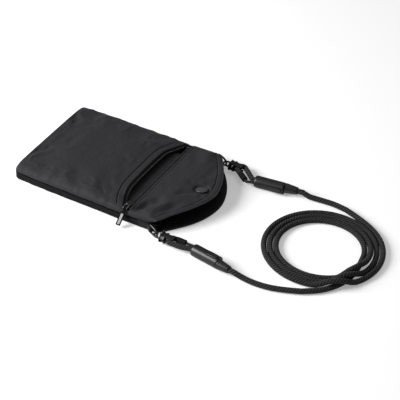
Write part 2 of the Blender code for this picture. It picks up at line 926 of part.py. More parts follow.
def build_hook(word, side, metal):
    """A bolt hook on the ring: jaw, barrel, and a yoke whose pin the cord goes round."""
    middle = hook_middle(side)
    outward = Vector((side, 0.0, 0.0))
    forward = Vector((0.0, 1.0, 0.0))

    def place(out, along, height=0.0):
        return middle + outward * out + forward * along + Vector((0.0, 0.0, height))

    body = add_box(
        "hook_body_" + word,
        (barrel_width, barrel_length - flange_length, barrel_height),
        place(0.0, barrel_start + barrel_length / 2),
        metal,
        barrel_bevel,
    )
    tools = []
    for index, start in enumerate((barrel_start, hook_body_end - flange_length)):
        tools.append(add_box(
            "hook_flange_%d_%s" % (index, word),
            (flange_width, flange_length, flange_height),
            place(0.0, start + flange_length / 2),
            None,
            flange_bevel,
        ))
    plate_start = hook_body_end - yoke_root
    plate_length_along = pin_place + pin_radius + yoke_end - plate_start
    plate_middle = plate_start + plate_length_along / 2
    plate_height = cord_radius + clearance + yoke_plate / 2
    for index, level in enumerate((plate_height, -plate_height)):
        tools.append(add_box(
            "hook_plate_%d_%s" % (index, word),
            (yoke_width, plate_length_along, yoke_plate),
            place(0.0, plate_middle, level),
            None,
            flange_bevel / 2,
        ))
    jaw_points = [place(jaw_radius, barrel_start + jaw_root), place(jaw_radius, jaw_tip)]
    for step in range(jaw_steps + 1):
        turn = math.pi * step / jaw_steps
        jaw_points.append(place(jaw_radius * math.cos(turn), -jaw_radius * math.sin(turn)))
    jaw_points.append(place(-jaw_radius, jaw_tip))
    tools.append(as_mesh(add_tube("hook_jaw_" + word, jaw_points, hook_wire_radius, metal)))
    for tool in tools:
        use_as_tool(body, tool, "UNION")

    knob_place = barrel_start + knob_set_back
    bore_depth = bolt_tail + bolt_travel + clearance
    bore = add_cylinder(
        "hook_bore_" + word,
        bolt_radius + clearance,
        2 * bore_depth,
        place(-jaw_radius, barrel_start),
        (0, 1, 0),
        None,
        small_round_steps,
    )
    slot_length = bolt_travel + 2 * slot_half_width
    slot = add_box(
        "hook_slot_" + word,
        (2 * slot_half_width, slot_length, flange_height),
        place(-jaw_radius, knob_place + bolt_travel / 2, flange_height / 2),
        None,
    )
    pin_hole = add_cylinder(
        "hook_pin_hole_" + word,
        pin_radius + clearance,
        2 * barrel_height,
        place(0.0, pin_place),
        (0, 0, 1),
        None,
        small_round_steps,
    )
    for tool in (bore, slot, pin_hole):
        use_as_tool(body, tool, "DIFFERENCE")

    tip_end = jaw_tip + clearance
    bolt_length = barrel_start + bolt_tail - tip_end
    bolt = add_cylinder(
        "hook_bolt_" + word,
        bolt_radius,
        bolt_length,
        place(-jaw_radius, tip_end + bolt_length / 2),
        (0, 1, 0),
        metal,
        small_round_steps,
    )
    knob_bottom = flange_height / 2 + clearance
    stem = add_cylinder(
        "bolt_stem_" + word,
        knob_stem_radius,
        knob_bottom + knob_height / 2,
        place(-jaw_radius, knob_place, (knob_bottom + knob_height / 2) / 2),
        (0, 0, 1),
        None,
        hole_steps,
    )
    knob = add_cylinder(
        "bolt_knob_" + word,
        knob_radius,
        knob_height,
        place(-jaw_radius, knob_place, knob_bottom + knob_height / 2),
        (0, 0, 1),
        None,
        hole_steps,
    )
    for tool in (stem, knob):
        use_as_tool(bolt, tool, "UNION")
    pin_length = 2 * (cord_radius + clearance + yoke_plate)
    add_cylinder(
        "loop_pin_" + word,
        pin_radius,
        pin_length,
        place(0.0, pin_place),
        (0, 0, 1),
        metal,
        small_round_steps,
    )


def adjuster_frame(side):
    """Place and turn of an adjuster: its own +Y runs away from the pouch along the main cord."""
    place = beyond_mouth(*(near_adjuster if side > 0 else far_adjuster), adjuster_radius)
    turn = near_adjuster_turn if side > 0 else far_adjuster_turn
    return Matrix.Translation(place) @ Matrix.Rotation(turn, 4, "Z")


def build_adjuster(word, side, plastic):
    """The adjuster's body, its nose and its lock button, round the main cord and its tail."""
    frame = adjuster_frame(side)
    along = Matrix.Rotation(-math.pi / 2, 4, "X")
    main_offset = side * adjuster_bore_offset
    profile = [
        (0.0, adjuster_length),
        (adjuster_radius - adjuster_edge_round, adjuster_length),
        (adjuster_radius, adjuster_length - adjuster_edge_round),
    ]
    for step in range(end_round_steps + 1):
        turn = math.pi / 2 * step / end_round_steps
        inset = adjuster_end_round * (1 - math.cos(turn))
        profile.append((adjuster_radius - inset, adjuster_end_round * (1 - math.sin(turn))))
    profile.append((0.0, 0.0))
    body = add_turned("adjuster_body_" + word, profile, plastic)
    body.matrix_world = frame @ along
    bore = add_cylinder(
        "adjuster_bore_" + word,
        cord_radius + clearance,
        3 * adjuster_length,
        Vector(),
        (0, 1, 0),
        None,
    )
    bore.matrix_world = frame @ Matrix.Translation((main_offset, adjuster_length / 2, 0.0))
    tail_bore = add_cylinder(
        "adjuster_tail_bore_" + word,
        tail_diameter / 2 + clearance,
        2 * tail_bore_depth,
        Vector(),
        (0, 1, 0),
        None,
        small_round_steps,
    )
    tail_bore.matrix_world = frame @ Matrix.Translation((-side * tail_bore_offset, 0.0, 0.0))
    button_tilt = Matrix.Rotation(0.0 if side > 0 else math.radians(90), 4, "Y")
    button_middle = adjuster_length - button_end_gap - button_length / 2
    pocket_depth = button_height + button_travel + clearance
    pocket = add_box(
        "adjuster_pocket_" + word,
        (button_width + 2 * clearance, button_length + 2 * clearance, 2 * pocket_depth),
        Vector((0.0, button_middle, adjuster_radius)),
        None,
    )
    pocket.matrix_world = frame @ button_tilt
    for tool in (bore, tail_bore, pocket):
        use_as_tool(body, tool, "DIFFERENCE")

    button_thickness = button_height + button_proud
    button = add_box(
        "lock_button_" + word,
        (button_width, button_length, button_thickness),
        Vector((0.0, button_middle, adjuster_radius + button_proud - button_thickness / 2)),
        plastic,
        button_proud,
    )
    button.matrix_world = frame @ button_tilt

    nose = add_turned(
        "adjuster_nose_" + word,
        [
            (cord_radius + clearance, nose_length),
            (nose_tip_radius - nose_round, nose_length),
            (nose_tip_radius, nose_length - nose_round),
            (nose_radius, 0.0),
            (cord_radius + clearance, 0.0),
        ],
        plastic,
        hollow=True,
    )
    nose.matrix_world = frame @ Matrix.Translation((main_offset, adjuster_length + clearance, 0.0)) @ along


def nose_exit(side):
    """Where the free cord leaves the nose, and which way."""
    frame = adjuster_frame(side)
    main_offset = side * adjuster_bore_offset
    end = adjuster_length + clearance + nose_length
    place = frame @ Vector((main_offset, end, 0.0))
    direction = frame.to_3x3() @ Vector((0.0, 1.0, 0.0))
    return place, direction


def build_loop(word, side, cord, sleeve_material):
    """The cord from the adjuster round the hook's pin, its end sleeve, and the tail that ties it back."""
    frame = adjuster_frame(side)
    exit_place, exit_direction = nose_exit(side)
    pin = hook_middle(side) + Vector((0.0, pin_place, 0.0))
    outward = Vector((side, 0.0, 0.0))
    forward = Vector((0.0, 1.0, 0.0))
    turn = near_sleeve_turn if side > 0 else far_sleeve_turn
    sleeve_way = Matrix.Rotation(turn, 3, "Z") @ forward
    main_entry = frame @ Vector((side * adjuster_bore_offset, 0.0, 0.0))
    tail_entry = frame @ Vector((-side * tail_bore_offset, 0.0, 0.0))
    last_turn = math.pi + math.asin(side * sleeve_way.x)
    bend = []
    for step in range(bend_steps + 1):
        turned = last_turn * step / bend_steps
        out, back = loop_radius * math.cos(turned), loop_radius * math.sin(turned)
        bend.append(pin + outward * out - forward * back)
    past_pin = pin_radius + yoke_end + clearance
    out_strand = bend[0] + forward * past_pin
    bulge = beyond_mouth(*(near_loop_bulge if side > 0 else far_loop_bulge), ring_centre_height)
    before_entry = main_entry - exit_direction * cord_radius
    strand = smooth_route([main_entry, before_entry, bulge, out_strand, bend[0]], loop_step)
    lean = abs(sleeve_way.x) * sleeve_diameter / 2
    yoke_clear = (pin + forward * (past_pin + lean) - bend[-1]).dot(forward) / sleeve_way.y
    sleeve_start = bend[-1] + sleeve_way * (yoke_clear + clearance)
    cord_end = sleeve_start - sleeve_way * clearance
    main_end = exit_place - exit_direction * clearance
    add_tube("cord_loop_" + word, [main_end] + strand + bend[1:] + [cord_end], cord_radius, cord)

    sleeve = add_cylinder(
        "end_sleeve_" + word,
        sleeve_diameter / 2,
        sleeve_length,
        sleeve_start + sleeve_way * sleeve_length / 2,
        sleeve_way,
        sleeve_material,
        small_round_steps,
    )
    rounding = sleeve.modifiers.new("Rounded edges", "BEVEL")
    rounding.width = sleeve_bevel
    rounding.segments = 1
    rounding.limit_method = "ANGLE"
    tail_start = sleeve_start + sleeve_way * (sleeve_length + clearance)
    tail_places = [
        tail_start,
        tail_start + sleeve_way * tail_diameter,
        tail_entry - exit_direction * tail_diameter,
        tail_entry + exit_direction * (tail_bore_depth - clearance),
    ]
    add_tube("tail_cord_" + word, smooth_route(tail_places, loop_step), tail_diameter / 2, cord)


def ease_between(part, start, end, start_slope, end_slope):
    """A value that leaves `start` and meets `end` with the given slopes."""
    square = part * part
    cube = square * part
    from_start = start * (2 * cube - 3 * square + 1) + start_slope * (cube - 2 * square + part)
    to_end = end * (3 * square - 2 * cube) + end_slope * (cube - square)
    return from_start + to_end


def coil_length_angle():
    return coil_start_angle - coil_end_angle + 360.0 * coil_turns


def spiral_radius(turned):
    return coil_radius - coil_pitch * turned / 360.0


def crossing_radius(turned):
    """Radius of the last stretch, which passes out under the other turns."""
    whole = coil_length_angle()
    part = (turned - (whole - cross_angle)) / cross_angle
    inner = spiral_radius(turned)
    if part <= 0:
        return inner
    rise = cross_end_radius - spiral_radius(whole)
    slope = cross_slope * math.radians(cross_angle)
    if part > 1:
        return cross_end_radius + slope * (part - 1)
    return inner + ease_between(part, 0.0, rise, 0.0, slope)


def coil_place(turned):
    """Point of the coil's centre line after turning by so many degrees from its start."""
    whole = coil_length_angle()
    radius = crossing_radius(turned)
    if turned < lead_in_angle:
        slope = -lead_in_slope * math.radians(lead_in_angle)
        radius += ease_between(turned / lead_in_angle, lead_in_rise, 0.0, slope, 0.0)
    height = cord_radius
    under = turned
    while under + 360.0 <= whole + cross_angle / 2:
        under += 360.0
    if under - turned > 180.0:
        apart = abs(crossing_radius(under) - radius)
        fade = (apart - hump_flat) / (hump_reach - hump_flat)
        fade = min(max(fade, 0.0), 1.0)
        start = (under - (whole - cross_angle - hump_ramp_angle)) / hump_ramp_angle
        start = min(max(start, 0.0), 1.0)
        hump = 1 - fade * fade * (3 - 2 * fade)
        height += hump_height * hump * start * start * (3 - 2 * start)
    angle = math.radians(coil_start_angle - turned)
    across = coil_centre[0] + radius * math.cos(angle)
    past_mouth = coil_centre[1] + coil_long_share * radius * math.sin(angle)
    return beyond_mouth(across, past_mouth, height)


def coil_points():
    whole = coil_length_angle()
    count = round(whole / 360.0 * coil_points_per_turn)
    return [coil_place(whole * index / count) for index in range(count + 1)]


def least_gap(points):
    """Least gap of the wound tube to itself, measured between finely divided centre lines."""
    fine = []
    for start, end in zip(points, points[1:]):
        for piece in range(gap_pieces):
            fine.append(start.lerp(end, piece / gap_pieces))
    near_by = coil_points_per_turn * gap_pieces // 2
    least = math.inf
    for index, place in enumerate(fine):
        for other in fine[index + near_by:]:
            least = min(least, (place - other).length)
    return least - cord_diameter


def build_strap(cord):
    """The free cord: a lead from each adjuster, and the coil between them."""
    coil = coil_points()
    print("coil: least gap to itself %.2f mm" % (least_gap(coil) * 1000))
    add_tube("strap_coil", coil, cord_radius, cord, resolution=1)
    total = sum((end - start).length for start, end in zip(coil, coil[1:]))
    start_way = (coil[1] - coil[0]).normalized()
    end_way = (coil[-1] - coil[-2]).normalized()
    for word, side, hand_points, coil_end, way in (
        ("far", -1, far_lead_points, coil[0], start_way),
        ("near", 1, near_lead_points, coil[-1], -end_way),
    ):
        exit_place, exit_direction = nose_exit(side)
        meet = coil_end - way * clearance
        places = [exit_place, exit_place + exit_direction * cord_diameter]
        places += [beyond_mouth(*point) for point in hand_points]
        places += [meet - way * cord_diameter, meet]
        route = smooth_route(places, cord_step)
        add_tube("strap_lead_" + word, route, cord_radius, cord)
        length = sum((end - start).length for start, end in zip(route, route[1:]))
        print("lead %s: %.1f mm" % (word, length * 1000))
        total += length
    print("free cord: %.0f mm" % (total * 1000))


clear_scene()
parts_collection = new_collection("phone_neck_pouch")
cutters_collection = new_collection("cutters")
cloth_material = new_material("cloth", cloth_black, 0.62, 0.0)
lining_material = new_material("lining", lining_black, 0.70, 0.0)
webbing_material = new_material("webbing", cord_black, 0.75, 0.0)
teeth_material = new_material("zip_teeth", plastic_black, 0.45, 0.0)
slider_material = new_material("slider_metal", bright_metal, 0.28, 1.0)
hardware_material = new_material("hardware_metal", gunmetal, 0.30, 1.0)
gloss_material = new_material("gloss_black", plastic_black, 0.18, 0.0)
adjuster_material = new_material("adjuster_plastic", plastic_black, 0.38, 0.0)
cord_material = new_material("cord", cord_black, 0.78, 0.0)

build_back(cloth_material, lining_material)
build_gusset(cloth_material)
build_front(cloth_material, lining_material)
build_zip(webbing_material, teeth_material, hardware_material, lining_material)
build_slider(slider_material)
build_flap(cloth_material, lining_material, gloss_material, hardware_material)
build_stud(hardware_material)
for side_word, side_sign in (("near", 1), ("far", -1)):
    build_tab("tab_" + side_word, side_sign, webbing_material)
    build_ring("d_ring_" + side_word, side_sign, hardware_material)
    build_hook(side_word, side_sign, hardware_material)
    build_adjuster(side_word, side_sign, adjuster_material)
    build_loop(side_word, side_sign, cord_material, webbing_material)
build_strap(cord_material)
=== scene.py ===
import math

import bmesh
import bpy
from mathutils import Matrix, Vector, noise


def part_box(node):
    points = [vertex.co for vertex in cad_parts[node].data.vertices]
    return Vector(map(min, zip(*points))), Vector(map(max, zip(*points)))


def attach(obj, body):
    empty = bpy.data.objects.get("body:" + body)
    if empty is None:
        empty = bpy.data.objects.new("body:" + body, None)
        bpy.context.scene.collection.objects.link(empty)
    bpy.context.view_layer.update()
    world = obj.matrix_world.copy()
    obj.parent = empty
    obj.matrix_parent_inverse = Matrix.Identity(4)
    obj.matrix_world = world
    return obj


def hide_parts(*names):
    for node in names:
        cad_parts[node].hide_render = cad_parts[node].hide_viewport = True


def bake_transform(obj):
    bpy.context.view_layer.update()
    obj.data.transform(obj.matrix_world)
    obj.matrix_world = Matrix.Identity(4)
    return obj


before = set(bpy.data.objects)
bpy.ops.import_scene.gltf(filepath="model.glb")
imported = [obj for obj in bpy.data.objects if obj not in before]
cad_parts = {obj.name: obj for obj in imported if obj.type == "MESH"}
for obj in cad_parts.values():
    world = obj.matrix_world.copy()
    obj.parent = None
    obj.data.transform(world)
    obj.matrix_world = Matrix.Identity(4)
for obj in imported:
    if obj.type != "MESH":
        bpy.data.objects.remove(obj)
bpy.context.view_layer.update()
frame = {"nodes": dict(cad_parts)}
nodes = frame["nodes"]
print("frame loaded,", len(nodes), "nodes")

# everything is in metres: X across the pouch, Y from its bottom to its mouth, Z up
originPlace = 0.09875
gap = 0.0003

pouch = {
    "halfWidth": 0.0605,
    "length": 0.1645,
    "cornerRadius": 0.0055,
    "frontReach": 0.030,
    "backReach": 0.033,
    "edgeHeight": 0.0090,
    "dividerTop": 0.0116,
    "pocketTop": 0.0174,
    "upperStart": 0.01465,
    "flapTop": 0.01675,
    "upperCrown": 24,
    "zipPlace": 0.1295,
    "zipHalf": 0.0546,
    "lipSetBack": 0.0042,
    "lipBow": 0.0100,
    "cloth": 0.0008,
}


def toWorld(across, up, height):
    return Vector((across, up - originPlace, height))


def pastMouth(across, past, height):
    # a place given on from the mouth's end of the side seams
    return toWorld(across, pouch["length"] + past, height)


def ease(part):
    part = min(max(part, 0.0), 1.0)
    return part * part * (3 - 2 * part)


def blendTable(table, place):
    if place <= table[0][0]:
        return table[0][1]
    for (low, lowValue), (high, highValue) in zip(table, table[1:]):
        if place <= high:
            return lowValue + (highValue - lowValue) * ease((place - low) / (high - low))
    return table[-1][1]


def selectOnly(*pieces):
    bpy.ops.object.select_all(action="DESELECT")
    for piece in pieces:
        piece.select_set(True)
    bpy.context.view_layer.objects.active = pieces[0]


def applyPlace(piece):
    selectOnly(piece)
    bpy.ops.object.transform_apply(location=True, rotation=True, scale=True)


def applyModifiers(piece):
    selectOnly(piece)
    for modifier in list(piece.modifiers):
        bpy.ops.object.modifier_apply(modifier=modifier.name)


def smoothShade(piece, angle=35):
    selectOnly(piece)
    bpy.ops.object.shade_smooth_by_angle(angle=math.radians(angle))


def dress(piece, material, body, slot, *replaced):
    piece.data.materials.clear()
    piece.data.materials.append(material)
    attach(piece, body)
    if replaced:
        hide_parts(*replaced)
    return piece


def finishPiece(piece, place, material, body, slot, node, angle=35):
    # moves the mesh itself, and keeps its faces outward when the place is a mirrored one
    piece.data.transform(place)
    if place.determinant() < 0:
        piece.data.flip_normals()
    smoothShade(piece, angle)
    dress(piece, material, body, slot, node)


def roundEdges(piece, width, segments=3, angle=30):
    bevel = piece.modifiers.new("Rounded edges", "BEVEL")
    bevel.width = width
    bevel.segments = segments
    bevel.limit_method = "ANGLE"
    bevel.angle_limit = math.radians(angle)
    applyModifiers(piece)


def cutWith(piece, tool, operation="DIFFERENCE"):
    step = piece.modifiers.new("Cut", "BOOLEAN")
    step.operation = operation
    step.object = tool
    step.solver = "EXACT"
    applyModifiers(piece)
    bpy.data.objects.remove(tool, do_unlink=True)


def addBlock(name, size, place):
    bpy.ops.object.select_all(action="DESELECT")
    bpy.ops.mesh.primitive_cube_add(size=1, location=place)
    block = bpy.context.object
    block.name = name
    block.scale = size
    applyPlace(block)
    return block


def addDrum(name, radius, depth, place, axis="Z", vertices=48):
    turn = (math.pi / 2, 0, 0) if axis == "Y" else (0, 0, 0)
    bpy.ops.object.select_all(action="DESELECT")
    bpy.ops.mesh.primitive_cylinder_add(
        vertices=vertices, radius=radius, depth=depth, location=place, rotation=turn
    )
    drum = bpy.context.object
    drum.name = name
    applyPlace(drum)
    return drum


def turnShape(name, profile, steps=48):
    # a lathe shape about its own Y, from (radius, place) pairs, first and last on the axis
    bpy.ops.object.select_all(action="DESELECT")
    bpy.ops.mesh.primitive_plane_add(size=1)
    piece = bpy.context.object
    piece.name = name
    piece.data.clear_geometry()
    corners = [(radius, place, 0.0) for radius, place in profile]
    piece.data.from_pydata(corners, [(i, i + 1) for i in range(len(corners) - 1)], [])
    bpy.ops.object.mode_set(mode="EDIT")
    bpy.ops.mesh.select_all(action="SELECT")
    bpy.ops.mesh.spin(steps=steps, angle=2 * math.pi, center=(0, 0, 0), axis=(0, 1, 0))
    bpy.ops.mesh.select_all(action="SELECT")
    bpy.ops.mesh.remove_doubles(threshold=0.000002)
    bpy.ops.mesh.normals_make_consistent(inside=False)
    bpy.ops.object.mode_set(mode="OBJECT")
    return piece


def runLengths(points):
    # how far along the way each point lies
    lengths = [0.0]
    for start, end in zip(points, points[1:]):
        lengths.append(lengths[-1] + (end - start).length)
    return lengths


def spineFrames(points, closed=False):
    # a frame at each point that turns as little as it can along the way
    count = len(points)
    tangents = []
    for index in range(count):
        before = points[index - 1] if index or closed else points[index]
        after = points[(index + 1) % count] if index < count - 1 or closed else points[index]
        tangents.append((after - before).normalized())
    side = tangents[0].orthogonal().normalized()
    if abs(tangents[0].z) < 0.9:
        side = tangents[0].cross(Vector((0, 0, 1))).normalized()
    frames = []
    for index in range(count):
        side = (side - tangents[index] * side.dot(tangents[index])).normalized()
        frames.append((tangents[index], side, tangents[index].cross(side)))
    return frames


def addTube(name, points, radius, sides=16, closed=False, pattern=0.0048):
    # a round tube with its own UV: around the tube, and along it in its own widths
    spine = [Vector(point) for point in points]
    radiusAt = radius if callable(radius) else (lambda share: radius)
    frames = spineFrames(spine, closed)
    lengths = runLengths(spine)
    whole = lengths[-1]
    if closed:
        lengths.append(whole + (spine[0] - spine[-1]).length)
    model = bmesh.new()
    rings = []
    for place, (_, side, up), along in zip(spine, frames, lengths):
        ring = []
        size = radiusAt(along / whole)
        for step in range(sides):
            angle = 2 * math.pi * step / sides
            ring.append(model.verts.new(place + (side * math.cos(angle) + up * math.sin(angle)) * size))
        rings.append(ring)
    uv = model.loops.layers.uv.new("UVMap")
    last = len(rings) if closed else len(rings) - 1
    for row in range(last):
        here = rings[row]
        there = rings[(row + 1) % len(rings)]
        if closed and row == len(rings) - 1:
            # meet the first ring where it turned to
            offset = min(range(sides), key=lambda turn: (here[0].co - rings[0][turn].co).length)
            there = rings[0][offset:] + rings[0][:offset]
        startAlong = lengths[row] / pattern
        endAlong = lengths[row + 1] / pattern
        for step in range(sides):
            nextStep = (step + 1) % sides
            face = model.faces.new((here[step], here[nextStep], there[nextStep], there[step]))
            values = (
                (step / sides, startAlong),
                ((step + 1) / sides, startAlong),
                ((step + 1) / sides, endAlong),
                (step / sides, endAlong),
            )
            for loop, value in zip(face.loops, values):
                loop[uv].uv = value
    if not closed:
        for ring, frame, size, way in (
            (rings[0], frames[0], radiusAt(0.0), -1),
            (rings[-1], frames[-1], radiusAt(1.0), 1),
        ):
            centre = sum((corner.co for corner in ring), Vector()) / sides
            rise = frame[0] * way * size * 0.12
            inner = [model.verts.new(centre + (corner.co - centre) * 0.8 + rise) for corner in ring]
            for step in range(sides):
                nextStep = (step + 1) % sides
                model.faces.new((ring[step], ring[nextStep], inner[nextStep], inner[step])[::way])
            model.faces.new(inner[::way])
    model.normal_update()
    outward = (face.calc_area() * face.normal.dot(face.calc_center_median() - spine[0]) for face in model.faces)
    if sum(outward) < 0:
        bmesh.ops.reverse_faces(model, faces=model.faces)
    mesh = bpy.data.meshes.new(name)
    model.to_mesh(mesh)
    model.free()
    tube = bpy.data.objects.new(name, mesh)
    bpy.context.scene.collection.objects.link(tube)
    smoothShade(tube, 50)
    return tube


settling = {
    "frames": 24,
    "spare": 0.004,
    "mass": 0.002,
    "stretch": 20.0,
    "shear": 6.0,
    "bend": 2.0,
    "cap": 0.0012,
}


def settleCloth(cloth, held):
    # the cloth is a little larger than its place, so it buckles between the seams that hold it
    start = [vertex.co.copy() for vertex in cloth.data.vertices]
    sewn = cloth.vertex_groups.new(name="sewn")
    for index, share in enumerate(held):
        sewn.add([index], share, "REPLACE")
    modifier = cloth.modifiers.new("Settle", "CLOTH")
    setting = modifier.settings
    setting.quality = 6
    setting.mass = settling["mass"]
    setting.tension_stiffness = settling["stretch"]
    setting.compression_stiffness = settling["stretch"]
    setting.shear_stiffness = settling["shear"]
    setting.bending_model = "LINEAR"
    setting.bending_stiffness = settling["bend"]
    setting.vertex_group_mass = "sewn"
    setting.shrink_min = -settling["spare"]
    setting.effector_weights.gravity = 0
    modifier.collision_settings.use_collision = False
    modifier.collision_settings.use_self_collision = False
    modifier.point_cache.frame_start = 1
    modifier.point_cache.frame_end = settling["frames"]
    for number in range(1, settling["frames"] + 1):
        bpy.context.scene.frame_set(number)
    applyModifiers(cloth)
    furthest = 0.0
    for vertex, place, share in zip(cloth.data.vertices, start, held):
        move = (vertex.co - place) * (1 - share)
        if move.length > 0:
            # a soft cap, so that no edge shows where it sets in
            move *= settling["cap"] * math.tanh(move.length / settling["cap"]) / move.length
        furthest = max(furthest, move.length)
        vertex.co = place + move
    cloth.vertex_groups.clear()
    bpy.context.scene.frame_set(1)
    print("%s settled, %.2f mm at most" % (cloth.name, furthest * 1000))


def makeCloth(name, columns, rows, placeOf, thickness, flatOf=None, held=None):
    # a grid that is laid out by placeOf(u, v) with u and v from 0 to 1, then given its thickness
    bpy.ops.object.select_all(action="DESELECT")
    bpy.ops.mesh.primitive_grid_add(x_subdivisions=columns, y_subdivisions=rows, size=2)
    cloth = bpy.context.object
    cloth.name = name
    mesh = cloth.data
    shares = [((vertex.co.x + 1) / 2, (vertex.co.y + 1) / 2) for vertex in mesh.vertices]
    places = [placeOf(u, v) for u, v in shares]
    flats = [flatOf(u, v) for u, v in shares] if flatOf else [(place.x, place.y) for place in places]
    for vertex, place in zip(mesh.vertices, places):
        vertex.co = place
    layer = mesh.uv_layers.active
    for loop in mesh.loops:
        layer.data[loop.index].uv = flats[loop.vertex_index]
    if held:
        settleCloth(cloth, [held(u, v) for u, v in shares])
    wall = cloth.modifiers.new("Cloth thickness", "SOLIDIFY")
    wall.thickness = thickness
    wall.offset = -1.0
    applyModifiers(cloth)
    smoothShade(cloth, 60)
    return cloth


def copyAlong(name, base, points, pitch, normal=None):
    # copies of one small mesh, each lying on its stretch of the way
    spine = [Vector(point) for point in points]
    facing = normal or Vector((0, 0, 1))
    model = bmesh.new()
    whole = runLengths(spine)[-1]
    count = max(1, int(whole / pitch))
    target = (whole - (count - 1) * pitch) / 2
    travelled = 0.0
    placed = 0
    for start, end in zip(spine, spine[1:]):
        length = (end - start).length
        while placed < count and target <= travelled + length:
            centre = start.lerp(end, (target - travelled) / length)
            way = (end - start).normalized()
            across = way.cross(facing).normalized()
            turn = Matrix((way, -across, across.cross(way))).transposed().to_4x4()
            mark = len(model.verts)
            model.from_mesh(base)
            model.verts.ensure_lookup_table()
            bmesh.ops.transform(model, matrix=Matrix.Translation(centre) @ turn, verts=model.verts[mark:])
            placed += 1
            target += pitch
        travelled += length
    mesh = bpy.data.meshes.new(name)
    model.to_mesh(mesh)
    model.free()
    bpy.data.meshes.remove(base)
    row = bpy.data.objects.new(name, mesh)
    bpy.context.scene.collection.objects.link(row)
    smoothShade(row, 80)
    return row


def stitchRow(name, points, stitchLength, pitch, width, normal=None):
    bpy.ops.object.select_all(action="DESELECT")
    bpy.ops.mesh.primitive_uv_sphere_add(segments=6, ring_count=4, radius=0.5)
    seed = bpy.context.object
    seed.scale = (stitchLength, width, width * 0.7)
    applyPlace(seed)
    base = seed.data.copy()
    bpy.data.objects.remove(seed, do_unlink=True)
    return copyAlong(name, base, points, pitch, normal)


def newGroup(name, inputs, outputs):
    group = bpy.data.node_groups.new(name, "ShaderNodeTree")
    for label, kind, value in inputs:
        socket = group.interface.new_socket(name=label, in_out="INPUT", socket_type=kind)
        if value is not None:
            socket.default_value = value
    for label, kind in outputs:
        group.interface.new_socket(name=label, in_out="OUTPUT", socket_type=kind)
    start = group.nodes.new("NodeGroupInput")
    end = group.nodes.new("NodeGroupOutput")
    return group, start, end


def math2(tree, operation, first, second=None):
    node = tree.nodes.new("ShaderNodeMath")
    node.operation = operation
    for index, value in enumerate((first, second)):
        if value is None:
            continue
        if isinstance(value, (int, float)):
            node.inputs[index].default_value = value
        else:
            tree.links.new(value, node.inputs[index])
    return node.outputs[0]


def makeWeaveGroup():
    # over and under threads of a plain weave, with a thicker thread now and then; its PaintedShade output is
    # painted light and shade taken from the threads' height
    group, start, end = newGroup(
        "plainWeave",
        [
            ("Vector", "NodeSocketVector", None),
            ("Threads", "NodeSocketFloat", 3000.0),
            ("Slub", "NodeSocketFloat", 0.3),
        ],
        [("Height", "NodeSocketFloat"), ("PaintedShade", "NodeSocketFloat")],
    )
    split = group.nodes.new("ShaderNodeSeparateXYZ")
    group.links.new(start.outputs["Vector"], split.inputs[0])
    across, along = (
        math2(group, "SINE", math2(group, "MULTIPLY", split.outputs[way], start.outputs["Threads"])) for way in "XY"
    )
    crossing = math2(group, "MULTIPLY", across, along)
    slub = group.nodes.new("ShaderNodeTexNoise")
    slub.inputs["Scale"].default_value = 900.0
    slub.inputs["Detail"].default_value = 2.0
    group.links.new(start.outputs["Vector"], slub.inputs["Vector"])
    slubPart = math2(group, "MULTIPLY", math2(group, "SUBTRACT", slub.outputs[0], 0.5), start.outputs["Slub"])
    height = math2(group, "ADD", math2(group, "MULTIPLY", crossing, 0.5), slubPart)
    group.links.new(height, end.inputs["Height"])
    # painted light and shade: raised crossings get a higher share, the hollows between threads a lower one
    paintedShadePart = math2(group, "ADD", math2(group, "MULTIPLY", height, 0.5), 0.5)
    group.links.new(paintedShadePart, end.inputs["PaintedShade"])
    return group


def makeBraidGroup():
    # two sets of strands that wind round the cord opposite ways
    group, start, end = newGroup(
        "braidedStrands",
        [
            ("Vector", "NodeSocketVector", None),
            ("Around", "NodeSocketFloat", 6.0),
            ("Along", "NodeSocketFloat", 2.6),
        ],
        [("Height", "NodeSocketFloat"), ("Fleck", "NodeSocketFloat")],
    )
    split = group.nodes.new("ShaderNodeSeparateXYZ")
    group.links.new(start.outputs["Vector"], split.inputs[0])
    around = math2(group, "MULTIPLY", split.outputs["X"], start.outputs["Around"])
    along = math2(group, "MULTIPLY", split.outputs["Y"], start.outputs["Along"])
    one = math2(group, "ADD", around, along)
    two = math2(group, "SUBTRACT", around, along)
    waveOne, waveTwo = (
        math2(group, "ABSOLUTE", math2(group, "SINE", math2(group, "MULTIPLY", strand, math.pi)))
        for strand in (one, two)
    )
    height = math2(group, "MAXIMUM", waveOne, waveTwo)
    group.links.new(height, end.inputs["Height"])
    over = math2(group, "GREATER_THAN", waveOne, waveTwo)
    # every second strand is the light one
    second = math2(group, "MODULO", math2(group, "ABSOLUTE", math2(group, "FLOOR", one)), 2.0)
    isLight = math2(group, "COMPARE", second, 1.0)
    group.links.new(math2(group, "MULTIPLY", over, isLight), end.inputs["Fleck"])
    return group


def makeMottleGroup():
    # slow changes of tone, and fine specks, for anything that has been handled
    group, start, end = newGroup(
        "handledSurface",
        [
            ("Vector", "NodeSocketVector", None),
            ("Size", "NodeSocketFloat", 40.0),
            ("Fine", "NodeSocketFloat", 900.0),
        ],
        [("Slow", "NodeSocketFloat"), ("Specks", "NodeSocketFloat"), ("Creases", "NodeSocketFloat")],
    )

    def addNoise(scale, detail, distortion=0.0):
        node = group.nodes.new("ShaderNodeTexNoise")
        node.inputs["Detail"].default_value = detail
        node.inputs["Distortion"].default_value = distortion
        group.links.new(start.outputs["Vector"], node.inputs["Vector"])
        group.links.new(scale, node.inputs["Scale"])
        return node.outputs[0]

    creases = addNoise(math2(group, "MULTIPLY", start.outputs["Size"], 2.2), 4.0, 1.4)
    ridge = math2(group, "ABSOLUTE", math2(group, "SUBTRACT", creases, 0.5))
    group.links.new(addNoise(start.outputs["Size"], 3.0), end.inputs["Slow"])
    group.links.new(addNoise(start.outputs["Fine"], 2.0), end.inputs["Specks"])
    group.links.new(math2(group, "MULTIPLY", ridge, 3.0), end.inputs["Creases"])
    return group


